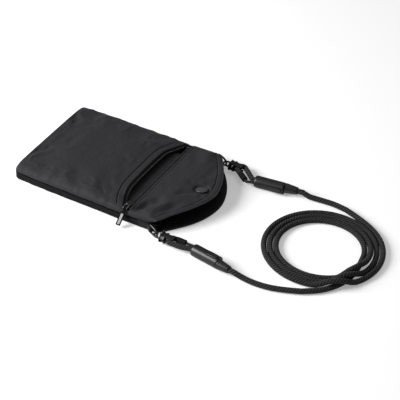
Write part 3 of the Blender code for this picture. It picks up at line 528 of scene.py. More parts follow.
weaveGroup = makeWeaveGroup()
braidGroup = makeBraidGroup()
mottleGroup = makeMottleGroup()


def startMaterial(name, colour, roughness, metallic=0.0):
    material = bpy.data.materials.new(name)
    material.use_nodes = True
    material.diffuse_color = (*colour, 1.0)
    tree = material.node_tree
    shader = tree.nodes["Principled BSDF"]
    shader.inputs["Base Color"].default_value = (*colour, 1.0)
    shader.inputs["Roughness"].default_value = roughness
    shader.inputs["Metallic"].default_value = metallic
    return material, tree, shader


def useGroup(tree, group, values, vector):
    node = tree.nodes.new("ShaderNodeGroup")
    node.node_tree = group
    for label, value in values.items():
        node.inputs[label].default_value = value
    tree.links.new(vector, node.inputs["Vector"])
    return node


def mixColour(tree, factor, low, high):
    node = tree.nodes.new("ShaderNodeMix")
    node.data_type = "RGBA"
    tree.links.new(factor, node.inputs["Factor"])
    for socket, value in ((node.inputs[6], low), (node.inputs[7], high)):
        if isinstance(value, tuple):
            socket.default_value = (*value, 1.0)
        else:
            tree.links.new(value, socket)
    return node.outputs[2]


def spread(tree, value, low, high, fromLow=0.0, fromHigh=1.0):
    node = tree.nodes.new("ShaderNodeMapRange")
    tree.links.new(value, node.inputs["Value"])
    node.inputs["From Min"].default_value = fromLow
    node.inputs["From Max"].default_value = fromHigh
    node.inputs["To Min"].default_value = low
    node.inputs["To Max"].default_value = high
    return node.outputs["Result"]


def addBump(tree, shader, height, strength, distance, under=None):
    bump = tree.nodes.new("ShaderNodeBump")
    bump.inputs["Strength"].default_value = strength
    bump.inputs["Distance"].default_value = distance
    tree.links.new(height, bump.inputs["Height"])
    if under:
        tree.links.new(under, bump.inputs["Normal"])
    tree.links.new(bump.outputs["Normal"], shader.inputs["Normal"])
    return bump.outputs["Normal"]


def addMottle(tree, size, fine):
    coordinates = tree.nodes.new("ShaderNodeTexCoord")
    mottle = useGroup(tree, mottleGroup, {"Size": size, "Fine": fine}, coordinates.outputs["Object"])
    return coordinates.outputs["UV"], mottle.outputs


def varyRoughness(tree, shader, specks, roughness, less, more):
    rough = spread(tree, specks, roughness - less, roughness + more)
    tree.links.new(rough, shader.inputs["Roughness"])


def setSheen(shader, look, roughness):
    shader.inputs["Specular IOR Level"].default_value = look["specular"]
    shader.inputs["Sheen Weight"].default_value = look["sheen"]
    shader.inputs["Sheen Roughness"].default_value = roughness


def makeClothMaterial(name, look):
    material, tree, shader = startMaterial(name, look["dark"], look["roughness"])
    flat, mottle = addMottle(tree, look["mottle"], 1400.0)
    weave = useGroup(tree, weaveGroup, {"Threads": look["threads"], "Slub": look["slub"]}, flat)
    tone = mixColour(tree, spread(tree, mottle["Slow"], 0.0, 1.0, 0.3, 0.7), look["dark"], look["light"])
    # the weave pattern is real; its lighter raised crossings and darker hollows are painted light and shade
    thread = mixColour(tree, spread(tree, weave.outputs["PaintedShade"], 0.0, look["contrast"]), tone, look["thread"])
    tree.links.new(thread, shader.inputs["Base Color"])
    varyRoughness(tree, shader, mottle["Specks"], look["roughness"], 0.06, 0.08)
    setSheen(shader, look, 0.4)
    slowNormal = addBump(tree, shader, mottle["Creases"], look["crease"], 0.0012)
    addBump(tree, shader, weave.outputs["Height"], 0.35, look["threadHeight"], slowNormal)
    return material


def makeCordMaterial(name, look):
    material, tree, shader = startMaterial(name, look["dark"], look["roughness"])
    flat, mottle = addMottle(tree, 160.0, 2600.0)
    braid = useGroup(tree, braidGroup, {"Around": look["around"], "Along": look["along"]}, flat)
    base = mixColour(tree, spread(tree, mottle["Specks"], 0.0, 1.0, 0.35, 0.65), look["dark"], look["mid"])
    share = math2(tree, "MULTIPLY", braid.outputs["Fleck"], look["fleckShare"])
    fleck = mixColour(tree, share, base, look["fleck"])
    # painted shade: the colour is darkened where the braid's height is low, in the grooves between the strands
    groove = spread(tree, braid.outputs["Height"], 0.35, 1.0, 0.45, 0.85)
    paintedGrooveShade = tree.nodes.new("ShaderNodeMix")
    paintedGrooveShade.data_type = "RGBA"
    paintedGrooveShade.blend_type = "MULTIPLY"
    paintedGrooveShade.inputs["Factor"].default_value = 1.0
    tree.links.new(fleck, paintedGrooveShade.inputs[6])
    tree.links.new(groove, paintedGrooveShade.inputs[7])
    tree.links.new(paintedGrooveShade.outputs[2], shader.inputs["Base Color"])
    setSheen(shader, look, 0.5)
    addBump(tree, shader, braid.outputs["Height"], 0.9, look["strandHeight"])
    return material


metalGrain = {
    "size": 220.0,
    "fine": 3200.0,
    "from": 0.35,
    "to": 0.65,
    "less": 0.05,
    "more": 0.09,
    "bump": (0.12, 0.00004),
}
plasticGrain = {
    "size": 150.0,
    "fine": 2400.0,
    "from": 0.3,
    "to": 0.7,
    "less": 0.06,
    "more": 0.10,
    "bump": (0.15, 0.00005),
}


def makeHardMaterial(name, look, grain):
    material, tree, shader = startMaterial(name, look["colour"], look["roughness"], look.get("metallic", 0.0))
    mottle = addMottle(tree, grain["size"], grain["fine"])[1]
    patches = spread(tree, mottle["Slow"], 0.0, 1.0, grain["from"], grain["to"])
    tree.links.new(mixColour(tree, patches, look["colour"], look["worn"]), shader.inputs["Base Color"])
    varyRoughness(tree, shader, mottle["Specks"], look["roughness"], grain["less"], grain["more"])
    shader.inputs["Specular IOR Level"].default_value = look.get("specular", 0.5)
    shader.inputs["Coat Weight"].default_value = look.get("coat", 0.0)
    shader.inputs["Coat Roughness"].default_value = 0.12
    addBump(tree, shader, mottle["Specks"], *grain["bump"])
    return material


clothLook = {
    "dark": (0.0165, 0.0163, 0.0190),
    "light": (0.0205, 0.0203, 0.0232),
    # the colour painted on raised thread crossings, as light on them
    "thread": (0.034, 0.034, 0.039),
    "contrast": 0.45,
    "threads": 14000.0,
    "slub": 0.5,
    "mottle": 34.0,
    "roughness": 0.72,
    "specular": 0.22,
    "sheen": 0.05,
    "crease": 0.22,
    "threadHeight": 0.00009,
}
cordLook = {
    "dark": (0.004, 0.004, 0.0045),
    "mid": (0.007, 0.007, 0.0075),
    "fleck": (0.13, 0.13, 0.132),
    "fleckShare": 0.48,
    "around": 8.0,
    "along": 3.3,
    "roughness": 0.75,
    "specular": 0.25,
    "sheen": 0.06,
    "strandHeight": 0.00050,
}


def likeCloth(name, dark, light, thread, **changes):
    return makeClothMaterial(name, {**clothLook, "dark": dark, "light": light, "thread": thread, **changes})


def makeMetal(name, colour, worn, roughness, metallic):
    look = {"colour": colour, "worn": worn, "roughness": roughness, "metallic": metallic}
    return makeHardMaterial(name, look, metalGrain)


def makePlastic(name, colour, worn, roughness, **changes):
    look = {"colour": colour, "worn": worn, "roughness": roughness, **changes}
    return makeHardMaterial(name, look, plasticGrain)


clothMaterial = makeClothMaterial("blackNylon", clothLook)
tapeMaterial = likeCloth("zipTapeCloth", (0.004, 0.004, 0.005), (0.007, 0.007, 0.008), (0.013, 0.013, 0.014))
liningMaterial = likeCloth(
    "darkLining", (0.008, 0.008, 0.009), (0.012, 0.012, 0.013), (0.018, 0.018, 0.020), crease=0.40
)
webbingMaterial = likeCloth(
    "wovenTape", (0.004, 0.004, 0.005), (0.006, 0.006, 0.007), (0.014, 0.014, 0.016),
    contrast=0.7, threads=7000.0, crease=0.10, threadHeight=0.00018,
)
bandMaterial = likeCloth(
    "bandCloth", (0.0050, 0.0050, 0.0058), (0.0080, 0.0080, 0.0088), (0.016, 0.016, 0.018),
    specular=0.08, sheen=0.0,
)
# painted shade: near-black, for the shadow line along the side seam
seamShadeMaterial = likeCloth(
    "seamEdgeShade", (0.0015, 0.0015, 0.0020), (0.0020, 0.0020, 0.0025), (0.003, 0.003, 0.003),
    specular=0.05, sheen=0.0,
)
threadMaterial = likeCloth("sewingThread", (0.004, 0.004, 0.005), (0.006, 0.006, 0.007), (0.008, 0.008, 0.009))
cordMaterial = makeCordMaterial("braidedCord", cordLook)
sleeveMaterial = makeCordMaterial(
    "whippedSleeve", {**cordLook, "around": 0.0, "along": 9.0, "fleck": (0.06, 0.06, 0.06)}
)
gunmetalMaterial = makeMetal("darkPlating", (0.038, 0.038, 0.040), (0.060, 0.060, 0.063), 0.37, 0.85)
brightMaterial = makeMetal("brightPlating", (0.22, 0.22, 0.22), (0.30, 0.30, 0.30), 0.36, 1.0)
plateMaterial = makeMetal("pressedPlate", (0.086, 0.086, 0.086), (0.104, 0.104, 0.104), 0.40, 1.0)
enamelMaterial = makePlastic("blackEnamel", (0.002, 0.002, 0.002), (0.003, 0.003, 0.003), 0.50, specular=0.03)
adjusterMaterial = makePlastic("satinPlastic", (0.007, 0.007, 0.008), (0.011, 0.011, 0.012), 0.36)
glossMaterial = makePlastic("glossEnamel", (0.045, 0.045, 0.047), (0.055, 0.055, 0.057), 0.22, coat=0.6)
teethMaterial = makePlastic("zipPlastic", (0.007, 0.007, 0.008), (0.012, 0.012, 0.013), 0.40, specular=0.3)
print("materials ready")


view = {"azimuth": 121.0, "elevation": 39.0, "distance": 1.55, "lens": 144.45, "aim": (-0.0035, 0.07575, 0.0)}
studio = {
    "floorColour": (0.88, 0.88, 0.88),
    "floorLift": 0.30,
    "worldStrength": 0.14,
    "lights": [
        # name, direction it shines from, distance, width, length, power
        ("keyLight", (0.49, -0.68, 0.56), 1.3, 0.66, 0.66, 25.0),
        ("topLight", (-0.30, 0.10, 1.0), 1.6, 1.2, 1.2, 2.5),
        ("backLight", (-0.70, 0.75, 0.45), 1.5, 0.5, 0.5, 0.8),
    ],
}


def setCamera():
    azimuth = math.radians(view["azimuth"])
    elevation = math.radians(view["elevation"])
    toCamera = Vector((
        math.sin(azimuth) * math.cos(elevation),
        -math.cos(azimuth) * math.cos(elevation),
        math.sin(elevation),
    ))
    data = bpy.data.cameras.new("photoView")
    data.lens = view["lens"]
    data.sensor_width = 36.0
    data.clip_start = 0.01
    camera = bpy.data.objects.new("photoView", data)
    camera.location = Vector(view["aim"]) + toCamera * view["distance"]
    camera.rotation_euler = (-toCamera).to_track_quat("-Z", "Y").to_euler()
    bpy.context.scene.collection.objects.link(camera)
    bpy.context.scene.camera = camera


def setStudio():
    aim = Vector((0.0, 0.06, 0.0))
    for name, direction, distance, width, length, power in studio["lights"]:
        data = bpy.data.lights.new(name, "AREA")
        data.shape = "RECTANGLE"
        data.size = width
        data.size_y = length
        data.energy = power
        light = bpy.data.objects.new(name, data)
        way = Vector(direction).normalized()
        light.location = aim + way * distance
        light.rotation_euler = (-way).to_track_quat("-Z", "Y").to_euler()
        bpy.context.scene.collection.objects.link(light)
    bpy.ops.object.select_all(action="DESELECT")
    bpy.ops.mesh.primitive_plane_add(size=12, location=(0, 0, -0.00005))
    floor = bpy.context.object
    floor.name = "studioFloor"
    material, tree, shader = startMaterial("palePaper", studio["floorColour"], 0.9)
    path = tree.nodes.new("ShaderNodeLightPath")
    shader.inputs["Emission Color"].default_value = (1, 1, 1, 1)
    lift = math2(tree, "MULTIPLY", path.outputs["Is Camera Ray"], studio["floorLift"])
    tree.links.new(lift, shader.inputs["Emission Strength"])
    floor.data.materials.append(material)
    world = bpy.data.worlds.new("paleRoom")
    world.use_nodes = True
    worldTree = world.node_tree
    background = worldTree.nodes["Background"]
    worldPath = worldTree.nodes.new("ShaderNodeLightPath")
    strength = spread(worldTree, worldPath.outputs["Is Camera Ray"], studio["worldStrength"], 1.0)
    worldTree.links.new(strength, background.inputs["Strength"])
    background.inputs["Color"].default_value = (1, 1, 1, 1)
    bpy.context.scene.world = world
    bpy.context.scene.view_settings.view_transform = "Standard"


setCamera()
setStudio()
print("camera and studio ready")


cord = {
    "radius": 0.0027,
    "loopRadius": 0.0026,
    "sides": 20,
    "coilCentre": (0.0015, 0.1448),
    "coilRadius": 0.0548,
    "coilPitch": 0.0054,
    "longShare": 1.07,
    "startAngle": 180.0,
    "endAngle": 15.0,
    "turns": 3,
    "leadInAngle": 35.0,
    "leadInRise": 0.0045,
    "leadInSlope": 0.0190,
    "crossAngle": 85.0,
    "crossEndRadius": 0.0617,
    "crossSlope": 0.0210,
    "humpHeight": 0.0064,
    "humpFlat": 0.0012,
    "humpReach": 0.0090,
    "humpRampAngle": 35.0,
    "nearLead": [
        (0.0763, 0.1020, 0.0036), (0.0764, 0.1140, 0.0027), (0.0750, 0.1280, 0.0027), (0.0712, 0.1410, 0.0027)
    ],
    "farLead": [(-0.0583, 0.1000, 0.0037), (-0.0604, 0.1125, 0.0027), (-0.0611, 0.1250, 0.0027)],
}
adjuster = {
    "radius": 0.0060,
    "length": 0.0310,
    "bore": 0.0029,
    "boreOffset": 0.0015,
    "endRound": 0.0028,
    "tailBore": 0.0016,
    "tailOffset": 0.0034,
    "tailDepth": 0.0080,
    "noseLength": 0.0130,
    "pocket": (0.0058, 0.0116, 0.0050),
    "button": (0.0052, 0.0110, 0.0017),
    "buttonBack": 0.0075,
    "buttonSunk": 0.00035,
    "near": ((0.0681, 0.0454), math.radians(-8.3)),
    "far": ((-0.0500, 0.0442), math.radians(7.7)),
}


def adjusterFrame(word):
    (across, up), turn = adjuster[word]
    return Matrix.Translation(pastMouth(across, up, adjuster["radius"])) @ Matrix.Rotation(turn, 4, "Z")


def smoothRoute(places, step):
    route = []
    last = len(places) - 1
    for index in range(last):
        before = places[max(index - 1, 0)]
        start = places[index]
        end = places[index + 1]
        after = places[min(index + 2, last)]
        pieces = max(1, round((end - start).length / step))
        for piece in range(pieces):
            part = piece / pieces
            inPull = part * (1 - part) ** 2
            outPull = part * part * (part - 1)
            place = start.lerp(end, ease(part)) + (end - before) / 2 * inPull
            route.append(place + (after - start) / 2 * outPull)
    route.append(places[last])
    return route


def hermite(part, start, end, startSlope, endSlope):
    square = part * part
    cube = square * part
    fromStart = start * (2 * cube - 3 * square + 1) + startSlope * (cube - 2 * square + part)
    return fromStart + end * (3 * square - 2 * cube) + endSlope * (cube - square)


coilWhole = cord["startAngle"] - cord["endAngle"] + 360.0 * cord["turns"]


def strandRadius(turned):
    inner = cord["coilRadius"] - cord["coilPitch"] * turned / 360.0
    part = (turned - (coilWhole - cord["crossAngle"])) / cord["crossAngle"]
    if part <= 0:
        return inner
    rise = cord["crossEndRadius"] - (cord["coilRadius"] - cord["coilPitch"] * coilWhole / 360.0)
    slope = cord["crossSlope"] * math.radians(cord["crossAngle"])
    if part > 1:
        return cord["crossEndRadius"] + slope * (part - 1)
    return inner + hermite(part, 0.0, rise, 0.0, slope)


def coilPlace(turned):
    radius = strandRadius(turned)
    if turned < cord["leadInAngle"]:
        slope = -cord["leadInSlope"] * math.radians(cord["leadInAngle"])
        radius += hermite(turned / cord["leadInAngle"], cord["leadInRise"], 0.0, slope, 0.0)
    height = cord["radius"]
    under = turned
    while under + 360.0 <= coilWhole + cord["crossAngle"] / 2:
        under += 360.0
    if under - turned > 180.0:
        apart = abs(strandRadius(under) - radius)
        fade = ease((apart - cord["humpFlat"]) / (cord["humpReach"] - cord["humpFlat"]))
        ramp = cord["humpRampAngle"]
        start = ease((under - (coilWhole - cord["crossAngle"] - ramp)) / ramp)
        height += cord["humpHeight"] * (1 - fade) * start
    angle = math.radians(cord["startAngle"] - turned)
    across = cord["coilCentre"][0] + radius * math.cos(angle)
    up = cord["coilCentre"][1] + cord["longShare"] * radius * math.sin(angle)
    return pastMouth(across, up, height)


def noseExit(word):
    place = adjusterFrame(word)
    side = 1 if word == "near" else -1
    end = adjuster["length"] + gap + adjuster["noseLength"]
    return place @ Vector((side * adjuster["boreOffset"], end, 0.0)), place.to_3x3() @ Vector((0, 1, 0))


def leadRoute(word, coilEnd, way):
    exitPlace, exitWay = noseExit(word)
    meet = coilEnd - way * gap
    places = [exitPlace, exitPlace + exitWay * 2 * cord["radius"]]
    places += [pastMouth(*point) for point in cord[word + "Lead"]]
    places += [meet - way * 2 * cord["radius"], meet]
    return smoothRoute(places, 0.004)


coilCount = round(coilWhole / 5)
coilPoints = [coilPlace(coilWhole * index / coilCount) for index in range(coilCount + 1)]
farRoute = leadRoute("far", coilPoints[0], (coilPoints[1] - coilPoints[0]).normalized())
nearRoute = leadRoute("near", coilPoints[-1], (coilPoints[-2] - coilPoints[-1]).normalized())
strapRoute = farRoute[:-1] + coilPoints + nearRoute[-2::-1]
strap = addTube("strapCord", strapRoute, cord["radius"], sides=cord["sides"])
dress(strap, cordMaterial, "pouch_body", "cord", "strap_lead_far", "strap_coil", "strap_lead_near")
print("strap laid, %.0f mm" % (runLengths(strapRoute)[-1] * 1000))

hook = {
    "wire": 0.0010,
    "wireTaper": 0.0001,
    "jaw": 0.0032,
    "slack": 0.0005,
    "ringReach": 0.0110,
    "barrelStart": 0.0042,
    "barrelLength": 0.0056,
    "barrel": (0.0104, 0.0050, 0.0070),
    "flange": (0.0116, 0.0012, 0.0082),
    "cheek": (0.0056, 0.0088, 0.0010),
    "cheekReach": 0.0040,
    "cheekLevel": 0.0033,
    "window": ((0.0030, 0.0042, 0.0030), (0.0053, 0.0070, -0.0004)),
    "slot": (0.0017, 0.0043, 0.0044),
    "slotPlace": 0.0070,
    "stemRadius": 0.00055,
    "stemPlace": 0.0057,
    "pinPlace": 0.0161,
    "pinRadius": 0.0009,
    "yokeEnd": 0.0012,
    "near": (math.radians(-23), 1),
    "far": (math.radians(-19), -1),
}
loops = {
    "near": {"turn": math.radians(-0.5), "bulge": (0.0712, 0.0340)},
    "far": {"turn": math.radians(-35), "bulge": (-0.0582, 0.0325)},
    "sleeveRadius": 0.0029,
    "sleeveLength": 0.0100,
    "sleeveRidges": 14,
    "tailRadius": 0.0013,
    "step": 0.0015,
}


webbing = {
    # the fold round the ring's bar, then the two plies that are sewn to the side
    "barOut": 0.0635,
    "barBack": 0.0040,
    "level": 0.0060,
    "foldRadius": 0.0013,
    "innerPly": 0.0614,
    "outerPly": 0.0617,
    "rootBack": 0.0190,
    "seam": 0.011,
    "width": 0.0064,
    "cloth": 0.0006,
}


def ringBar(word):
    return pastMouth(hook[word][1] * webbing["barOut"], -webbing["barBack"], webbing["level"])


def ringWay(word):
    return Matrix.Rotation(hook[word][0], 3, "Z") @ Vector((0, 1, 0))


def hookMiddle(word):
    return ringBar(word) + ringWay(word) * hook["ringReach"] + Vector((0, hook["slack"], 0))


def buildLoop(word):
    side = hook[word][1]
    place = adjusterFrame(word)
    exitPlace, exitWay = noseExit(word)
    pin = hookMiddle(word) + Vector((0, hook["pinPlace"], 0))
    out = Vector((side, 0, 0))
    forward = Vector((0, 1, 0))
    sleeveWay = Matrix.Rotation(loops[word]["turn"], 3, "Z") @ forward
    mainEntry = place @ Vector((side * adjuster["boreOffset"], 0, 0))
    tailEntry = place @ Vector((-side * adjuster["tailOffset"], 0, 0))
    loopRadius = hook["pinRadius"] + gap + cord["loopRadius"]
    lastTurn = math.pi + math.asin(side * sleeveWay.x)
    turns = [lastTurn * step / 24 for step in range(25)]
    bend = [pin + out * loopRadius * math.cos(turn) - forward * loopRadius * math.sin(turn) for turn in turns]
    pastPin = hook["pinRadius"] + hook["yokeEnd"] + gap
    outStrand = bend[0] + forward * pastPin
    bulge = pastMouth(*loops[word]["bulge"], 0.0060)
    beforeEntry = mainEntry - exitWay * cord["radius"]
    strand = smoothRoute([mainEntry, beforeEntry, bulge, outStrand, bend[0]], loops["step"])
    lean = abs(sleeveWay.x) * loops["sleeveRadius"]
    clear = (pin + forward * (pastPin + lean) - bend[-1]).dot(forward) / sleeveWay.y
    sleeveStart = bend[-1] + sleeveWay * (clear + gap)
    loop = addTube(
        "cordLoop_" + word,
        [exitPlace - exitWay * gap] + strand + bend[1:] + [sleeveStart - sleeveWay * gap],
        cord["loopRadius"],
        sides=cord["sides"],
    )
    dress(loop, cordMaterial, "pouch_body", "cord", "cord_loop_" + word)

    # the whipping: a sleeve with a ridge for each turn of thread
    ridges = [(0.0, 0.0)]
    count = loops["sleeveRidges"]
    for index in range(count):
        start = loops["sleeveLength"] * index / count
        end = loops["sleeveLength"] * (index + 1) / count
        slant = (end - start) * 0.08
        groove = loops["sleeveRadius"] * 0.93
        ridges += [(groove, start + slant), (loops["sleeveRadius"], (start + end) / 2), (groove, end - slant)]
    ridges.append((0.0, loops["sleeveLength"]))
    sleeve = turnShape("endSleeve_" + word, ridges, 32)
    turn = forward.rotation_difference(sleeveWay).to_matrix().to_4x4()
    sleevePlace = Matrix.Translation(sleeveStart) @ turn
    finishPiece(sleeve, sleevePlace, sleeveMaterial, "pouch_body", "webbing", "end_sleeve_" + word, 60)

    tailStart = sleeveStart + sleeveWay * (loops["sleeveLength"] + gap)
    tailPlaces = [
        tailStart,
        tailStart + sleeveWay * 2 * loops["tailRadius"],
        tailEntry - exitWay * 2 * loops["tailRadius"],
        tailEntry + exitWay * (adjuster["tailDepth"] - gap),
    ]
    tailRoute = smoothRoute(tailPlaces, loops["step"])
    tail = addTube("tailCord_" + word, tailRoute, loops["tailRadius"], 14, pattern=2 * loops["tailRadius"])
    dress(tail, cordMaterial, "pouch_body", "cord", "tail_cord_" + word)


for word in ("near", "far"):
    buildLoop(word)
print("cord loops tied")


def sideAt(up, side):
    inset = pouch["halfWidth"] - side
    radius = pouch["cornerRadius"] - inset
    along = up - inset
    if along >= radius:
        return side
    return side - radius + math.sqrt(max(radius ** 2 - (radius - along) ** 2, 0.0))


def frontEdge(across):
    share = min(abs(across) / pouch["halfWidth"], 1.0)
    return pouch["length"] + pouch["frontReach"] * (1 - share ** 1.7)


def backEdge(across):
    share = min(abs(across) / pouch["halfWidth"], 1.0)
    return pouch["length"] + pouch["backReach"] * (1 - share ** 2)


def zipLip(across):
    share = min(abs(across) / pouch["zipHalf"], 1.0)
    return pouch["zipPlace"] - pouch["lipSetBack"] - pouch["lipBow"] * (1 - share ** 4)


def pocketEdge(across):
    past = (abs(across) - pouch["zipHalf"] - 0.0017) / 0.0020
    closed = pouch["zipPlace"] + pouch["lipSetBack"] - gap
    return zipLip(across) + (closed - zipLip(across)) * min(max(past, 0.0), 1.0)


def bulged(across, up):
    # the filled pouch swells a little past its seams, between the corners
    swell = 0.0009 * ease(up / 0.030) * ease((pouch["length"] - up) / 0.040)
    share = min(abs(across) / pouch["halfWidth"], 1.0)
    return across + math.copysign(swell * share ** 4, across)


def rolledSide(side):
    # the last of the width turns under, into the sewn seam
    share = abs(side)
    if share <= 0.98:
        return side / 0.98, 0.0
    return math.copysign(1.0, side), (share - 0.98) / 0.02


def fullSide(share, power):
    # the cloth's crown, which turns down to the side seam in one curve
    return max(1 - share ** power, 0.0) ** (1 / 2.4)


def pocketHeight(across, up):
    share = min(abs(across) / sideAt(up, pouch["halfWidth"]), 1.0)
    low = fullSide(share, 8)
    high = (1 - 0.30 * ease((share - 0.50) / 0.27)) * fullSide(share, 24)
    side = low + (high - low) * ease((up / pouch["length"] - 0.50) / 0.16)
    roll = math.sqrt(max(1 - (1 - min(max(up, 0.0) / 0.0026, 1.0)) ** 2, 0.0))
    rise = 0.66 * roll + 0.21 * (1 - math.exp(-max(up, 0.0) / 0.0045)) + 0.13 * ease(up / 0.066)
    return pouch["edgeHeight"] + (pouch["pocketTop"] - pouch["edgeHeight"]) * rise * side


def upperHeight(across, up):
    part = ease((up - pouch["zipPlace"]) / (pouch["length"] - pouch["zipPlace"]))
    level = pouch["upperStart"] + (pouch["flapTop"] - pouch["upperStart"]) * part
    share = min(abs(across) / pouch["halfWidth"], 1.0)
    return pouch["edgeHeight"] + (level - pouch["edgeHeight"]) * fullSide(share, pouch["upperCrown"])


def dividerHeight(across, up):
    rise = blendTable([(0.0, 0.0), (0.25, 0.48), (0.50, 1.0), (0.84, 1.0)], up / pouch["length"])
    side = blendTable([(0.0, 1.0), (0.64, 1.0), (1.0, 0.0)], abs(across) / lining["halfWidth"])
    mouthTop = pouch["flapTop"] - pouch["cloth"] - gap
    mouth = ease((up - 0.1420) / (pouch["length"] - 0.1420))
    level = pouch["dividerTop"] + (mouthTop - pouch["dividerTop"]) * mouth
    return 0.0046 + (level - 0.0046) * rise * side


def softNoise(x, y, size, seed):
    return noise.noise(Vector((x / size + seed, y / size - seed, seed * 0.37)))


def foldAt(x, y, folds):
    # each fold: start, end, half width, height; it dies away at both ends
    total = 0.0
    for (x0, y0), (x1, y1), width, height in folds:
        wayX = x1 - x0
        wayY = y1 - y0
        length = math.hypot(wayX, wayY)
        along = ((x - x0) * wayX + (y - y0) * wayY) / length ** 2
        off = abs((x - x0) * wayY - (y - y0) * wayX) / length
        if -0.15 < along < 1.15 and off < width * 2:
            ends = ease((along + 0.15) / 0.4), ease((1.15 - along) / 0.4)
            total += height * ease(1 - off / (width * 2)) * ends[0] * ends[1]
    return total


frontFolds = [
    ((0.0470, 0.0010), (0.0290, 0.0060), 0.0026, -0.0018),
    ((0.0300, 0.0050), (0.0160, 0.0140), 0.0034, -0.0018),
    ((0.0430, 0.0080), (0.0180, 0.0190), 0.0050, 0.0012),
    ((0.0400, 0.0160), (-0.0100, 0.0150), 0.0060, -0.0011),
    ((0.0050, 0.0150), (-0.0500, 0.0190), 0.0070, -0.0016),
    ((-0.0300, 0.0080), (-0.0560, 0.0300), 0.0050, -0.0012),
    ((-0.0440, 0.0040), (-0.0260, 0.0130), 0.0040, -0.0014),
    ((-0.0500, 0.0120), (-0.0280, 0.0230), 0.0050, 0.0011),
    ((-0.0540, 0.0290), (-0.0340, 0.0420), 0.0060, 0.0008),
    ((0.0540, 0.1165), (0.0280, 0.0945), 0.0045, 0.0009),
    ((0.0480, 0.1055), (0.0180, 0.0845), 0.0055, -0.0009),
    ((0.0560, 0.0725), (0.0330, 0.0605), 0.0055, -0.0008),
    ((0.0560, 0.0560), (0.0380, 0.0530), 0.0045, 0.0007),
    ((0.0560, 0.0900), (0.0380, 0.0760), 0.0050, 0.0008),
    ((-0.0520, 0.1165), (-0.0320, 0.0925), 0.0055, 0.0009),
    ((-0.0560, 0.0865), (-0.0400, 0.0725), 0.0060, -0.0008),
    ((0.0540, 0.0385), (0.0380, 0.0425), 0.0045, 0.0008),
    ((0.0560, 0.0230), (0.0400, 0.0290), 0.0040, -0.0007),
]
upperFolds = [
    ((0.0540, 0.1425), (0.0300, 0.1525), 0.0040, -0.0024),
    ((0.0560, 0.1525), (0.0320, 0.1645), 0.0036, 0.0020),
    ((0.0580, 0.1385), (0.0400, 0.1455), 0.0030, -0.0020),
    ((0.0560, 0.1475), (0.0440, 0.1500), 0.0026, 0.0012),
    ((0.0460, 0.1645), (0.0240, 0.1745), 0.0034, -0.0008),
    ((-0.0520, 0.1405), (-0.0300, 0.1545), 0.0045, -0.0010),
    ((-0.0560, 0.1545), (-0.0380, 0.1625), 0.0040, 0.0008),
    ((-0.0440, 0.1745), (-0.0120, 0.1725), 0.0034, -0.0008),
    ((0.0180, 0.1605), (0.0060, 0.1735), 0.0026, -0.0012),
    ((0.0100, 0.1565), (0.0030, 0.1725), 0.0024, 0.0009),
    ((-0.0060, 0.1605), (-0.0010, 0.1725), 0.0024, -0.0007),
]


def roundedColumn(u):
    # closer columns near the sides, where the cloth turns down
    side = 2 * u - 1
    return math.copysign(1 - (1 - abs(side)) ** 1.6, side)


def betweenRows(table, v):
    for (low, lowValue), (high, highValue) in zip(table, table[1:]):
        if v <= high:
            return lowValue + (highValue - lowValue) * (v - low) / (high - low)
    return table[-1][1]


def acrossPlaces(half, count):
    # even places across the pouch, from one side to the other
    return [-half + 2 * half * step / count for step in range(count + 1)]


def frontShares(u, v):
    side, roll = rolledSide(roundedColumn(u))
    edge = pocketEdge(side * pouch["halfWidth"])
    # closer rows where the cloth turns down at the bottom, and at the hem
    up = edge * betweenRows([(0.0, 0.0), (0.02, 0.0), (0.16, 0.022), (0.30, 0.10), (0.82, 0.92), (1.0, 1.0)], v)
    return side, roll, edge, up


def frontHeld(u, v):
    # how firmly the seams and the hem hold the cloth: 1 on them, 0 well away from them
    side, _, edge, up = frontShares(u, v)
    free = ease((0.97 - abs(side)) / 0.13) * ease((up - 0.001) / 0.007) * ease((edge - up - 0.0085) / 0.008)
    return 1 - free


def frontPlace(u, v):
    side, roll, edge, up = frontShares(u, v)
    tuck = max(1 - v / 0.02, 0.0)
    across = side * sideAt(up, pouch["halfWidth"])
    height = pocketHeight(across, up)
    inner = ease((1 - abs(side)) / 0.10) * ease(up / 0.006)
    lip = edge - up
    hem = ease((lip - 0.0068) / 0.0006)
    stitch = math.exp(-((lip - 0.0072) / 0.0006) ** 2) * ease((0.99 - abs(side)) / 0.03)
    height += inner * (
        foldAt(across, up, frontFolds)
        + 0.00065 * softNoise(across, up, 0.044, 3.1)
        + 0.00020 * softNoise(across + 0.6 * up, up * 0.5, 0.012, 7.7)
        + 0.00008 * softNoise(across, up, 0.005, 1.3)
    )
    # gathers run in from the sewn side seam
    seam = ease((abs(side) - 0.86) / 0.10)
    height += 0.00085 * seam * softNoise(across * 0.2, up, 0.0060, 2.2 + math.copysign(1.0, side))
    height -= 0.00030 * hem + 0.00085 * stitch
    height -= 0.0009 * ease(1 - lip / 0.0010)
    # the zip's ends are sewn down, and leave room for the puller
    height -= 0.0010 * ease((abs(across) - 0.0480) / 0.0040) * ease(1 - abs(up - pouch["zipPlace"]) / 0.0070)
    height += 0.0006 - 0.0016 * max(roll, tuck)
    out = bulged(across, up) - math.copysign(0.0018, side) * roll ** 2
    return toWorld(out, up + 0.0018 * tuck ** 2, height)


def buildFront():
    front = makeCloth("pocketFront", 150, 190, frontPlace, pouch["cloth"], held=frontHeld)
    dress(front, clothMaterial, "pouch_body", "cloth", "pocket_panel")
    line = []
    for across in acrossPlaces(0.0565, 120):
        up = zipLip(across) - 0.0072
        line.append(toWorld(bulged(across, up), up, pocketHeight(across, up) - 0.00025))
    row = stitchRow("pocketStitching", line, 0.0021, 0.0026, 0.00055)
    dress(row, threadMaterial, "pouch_body", "cloth")


flapHinge = {"place": 0.1690, "height": 0.01635, "soft": 0.004}
snap = {"up": 0.1785, "capRadius": 0.0059, "lean": math.radians(14)}


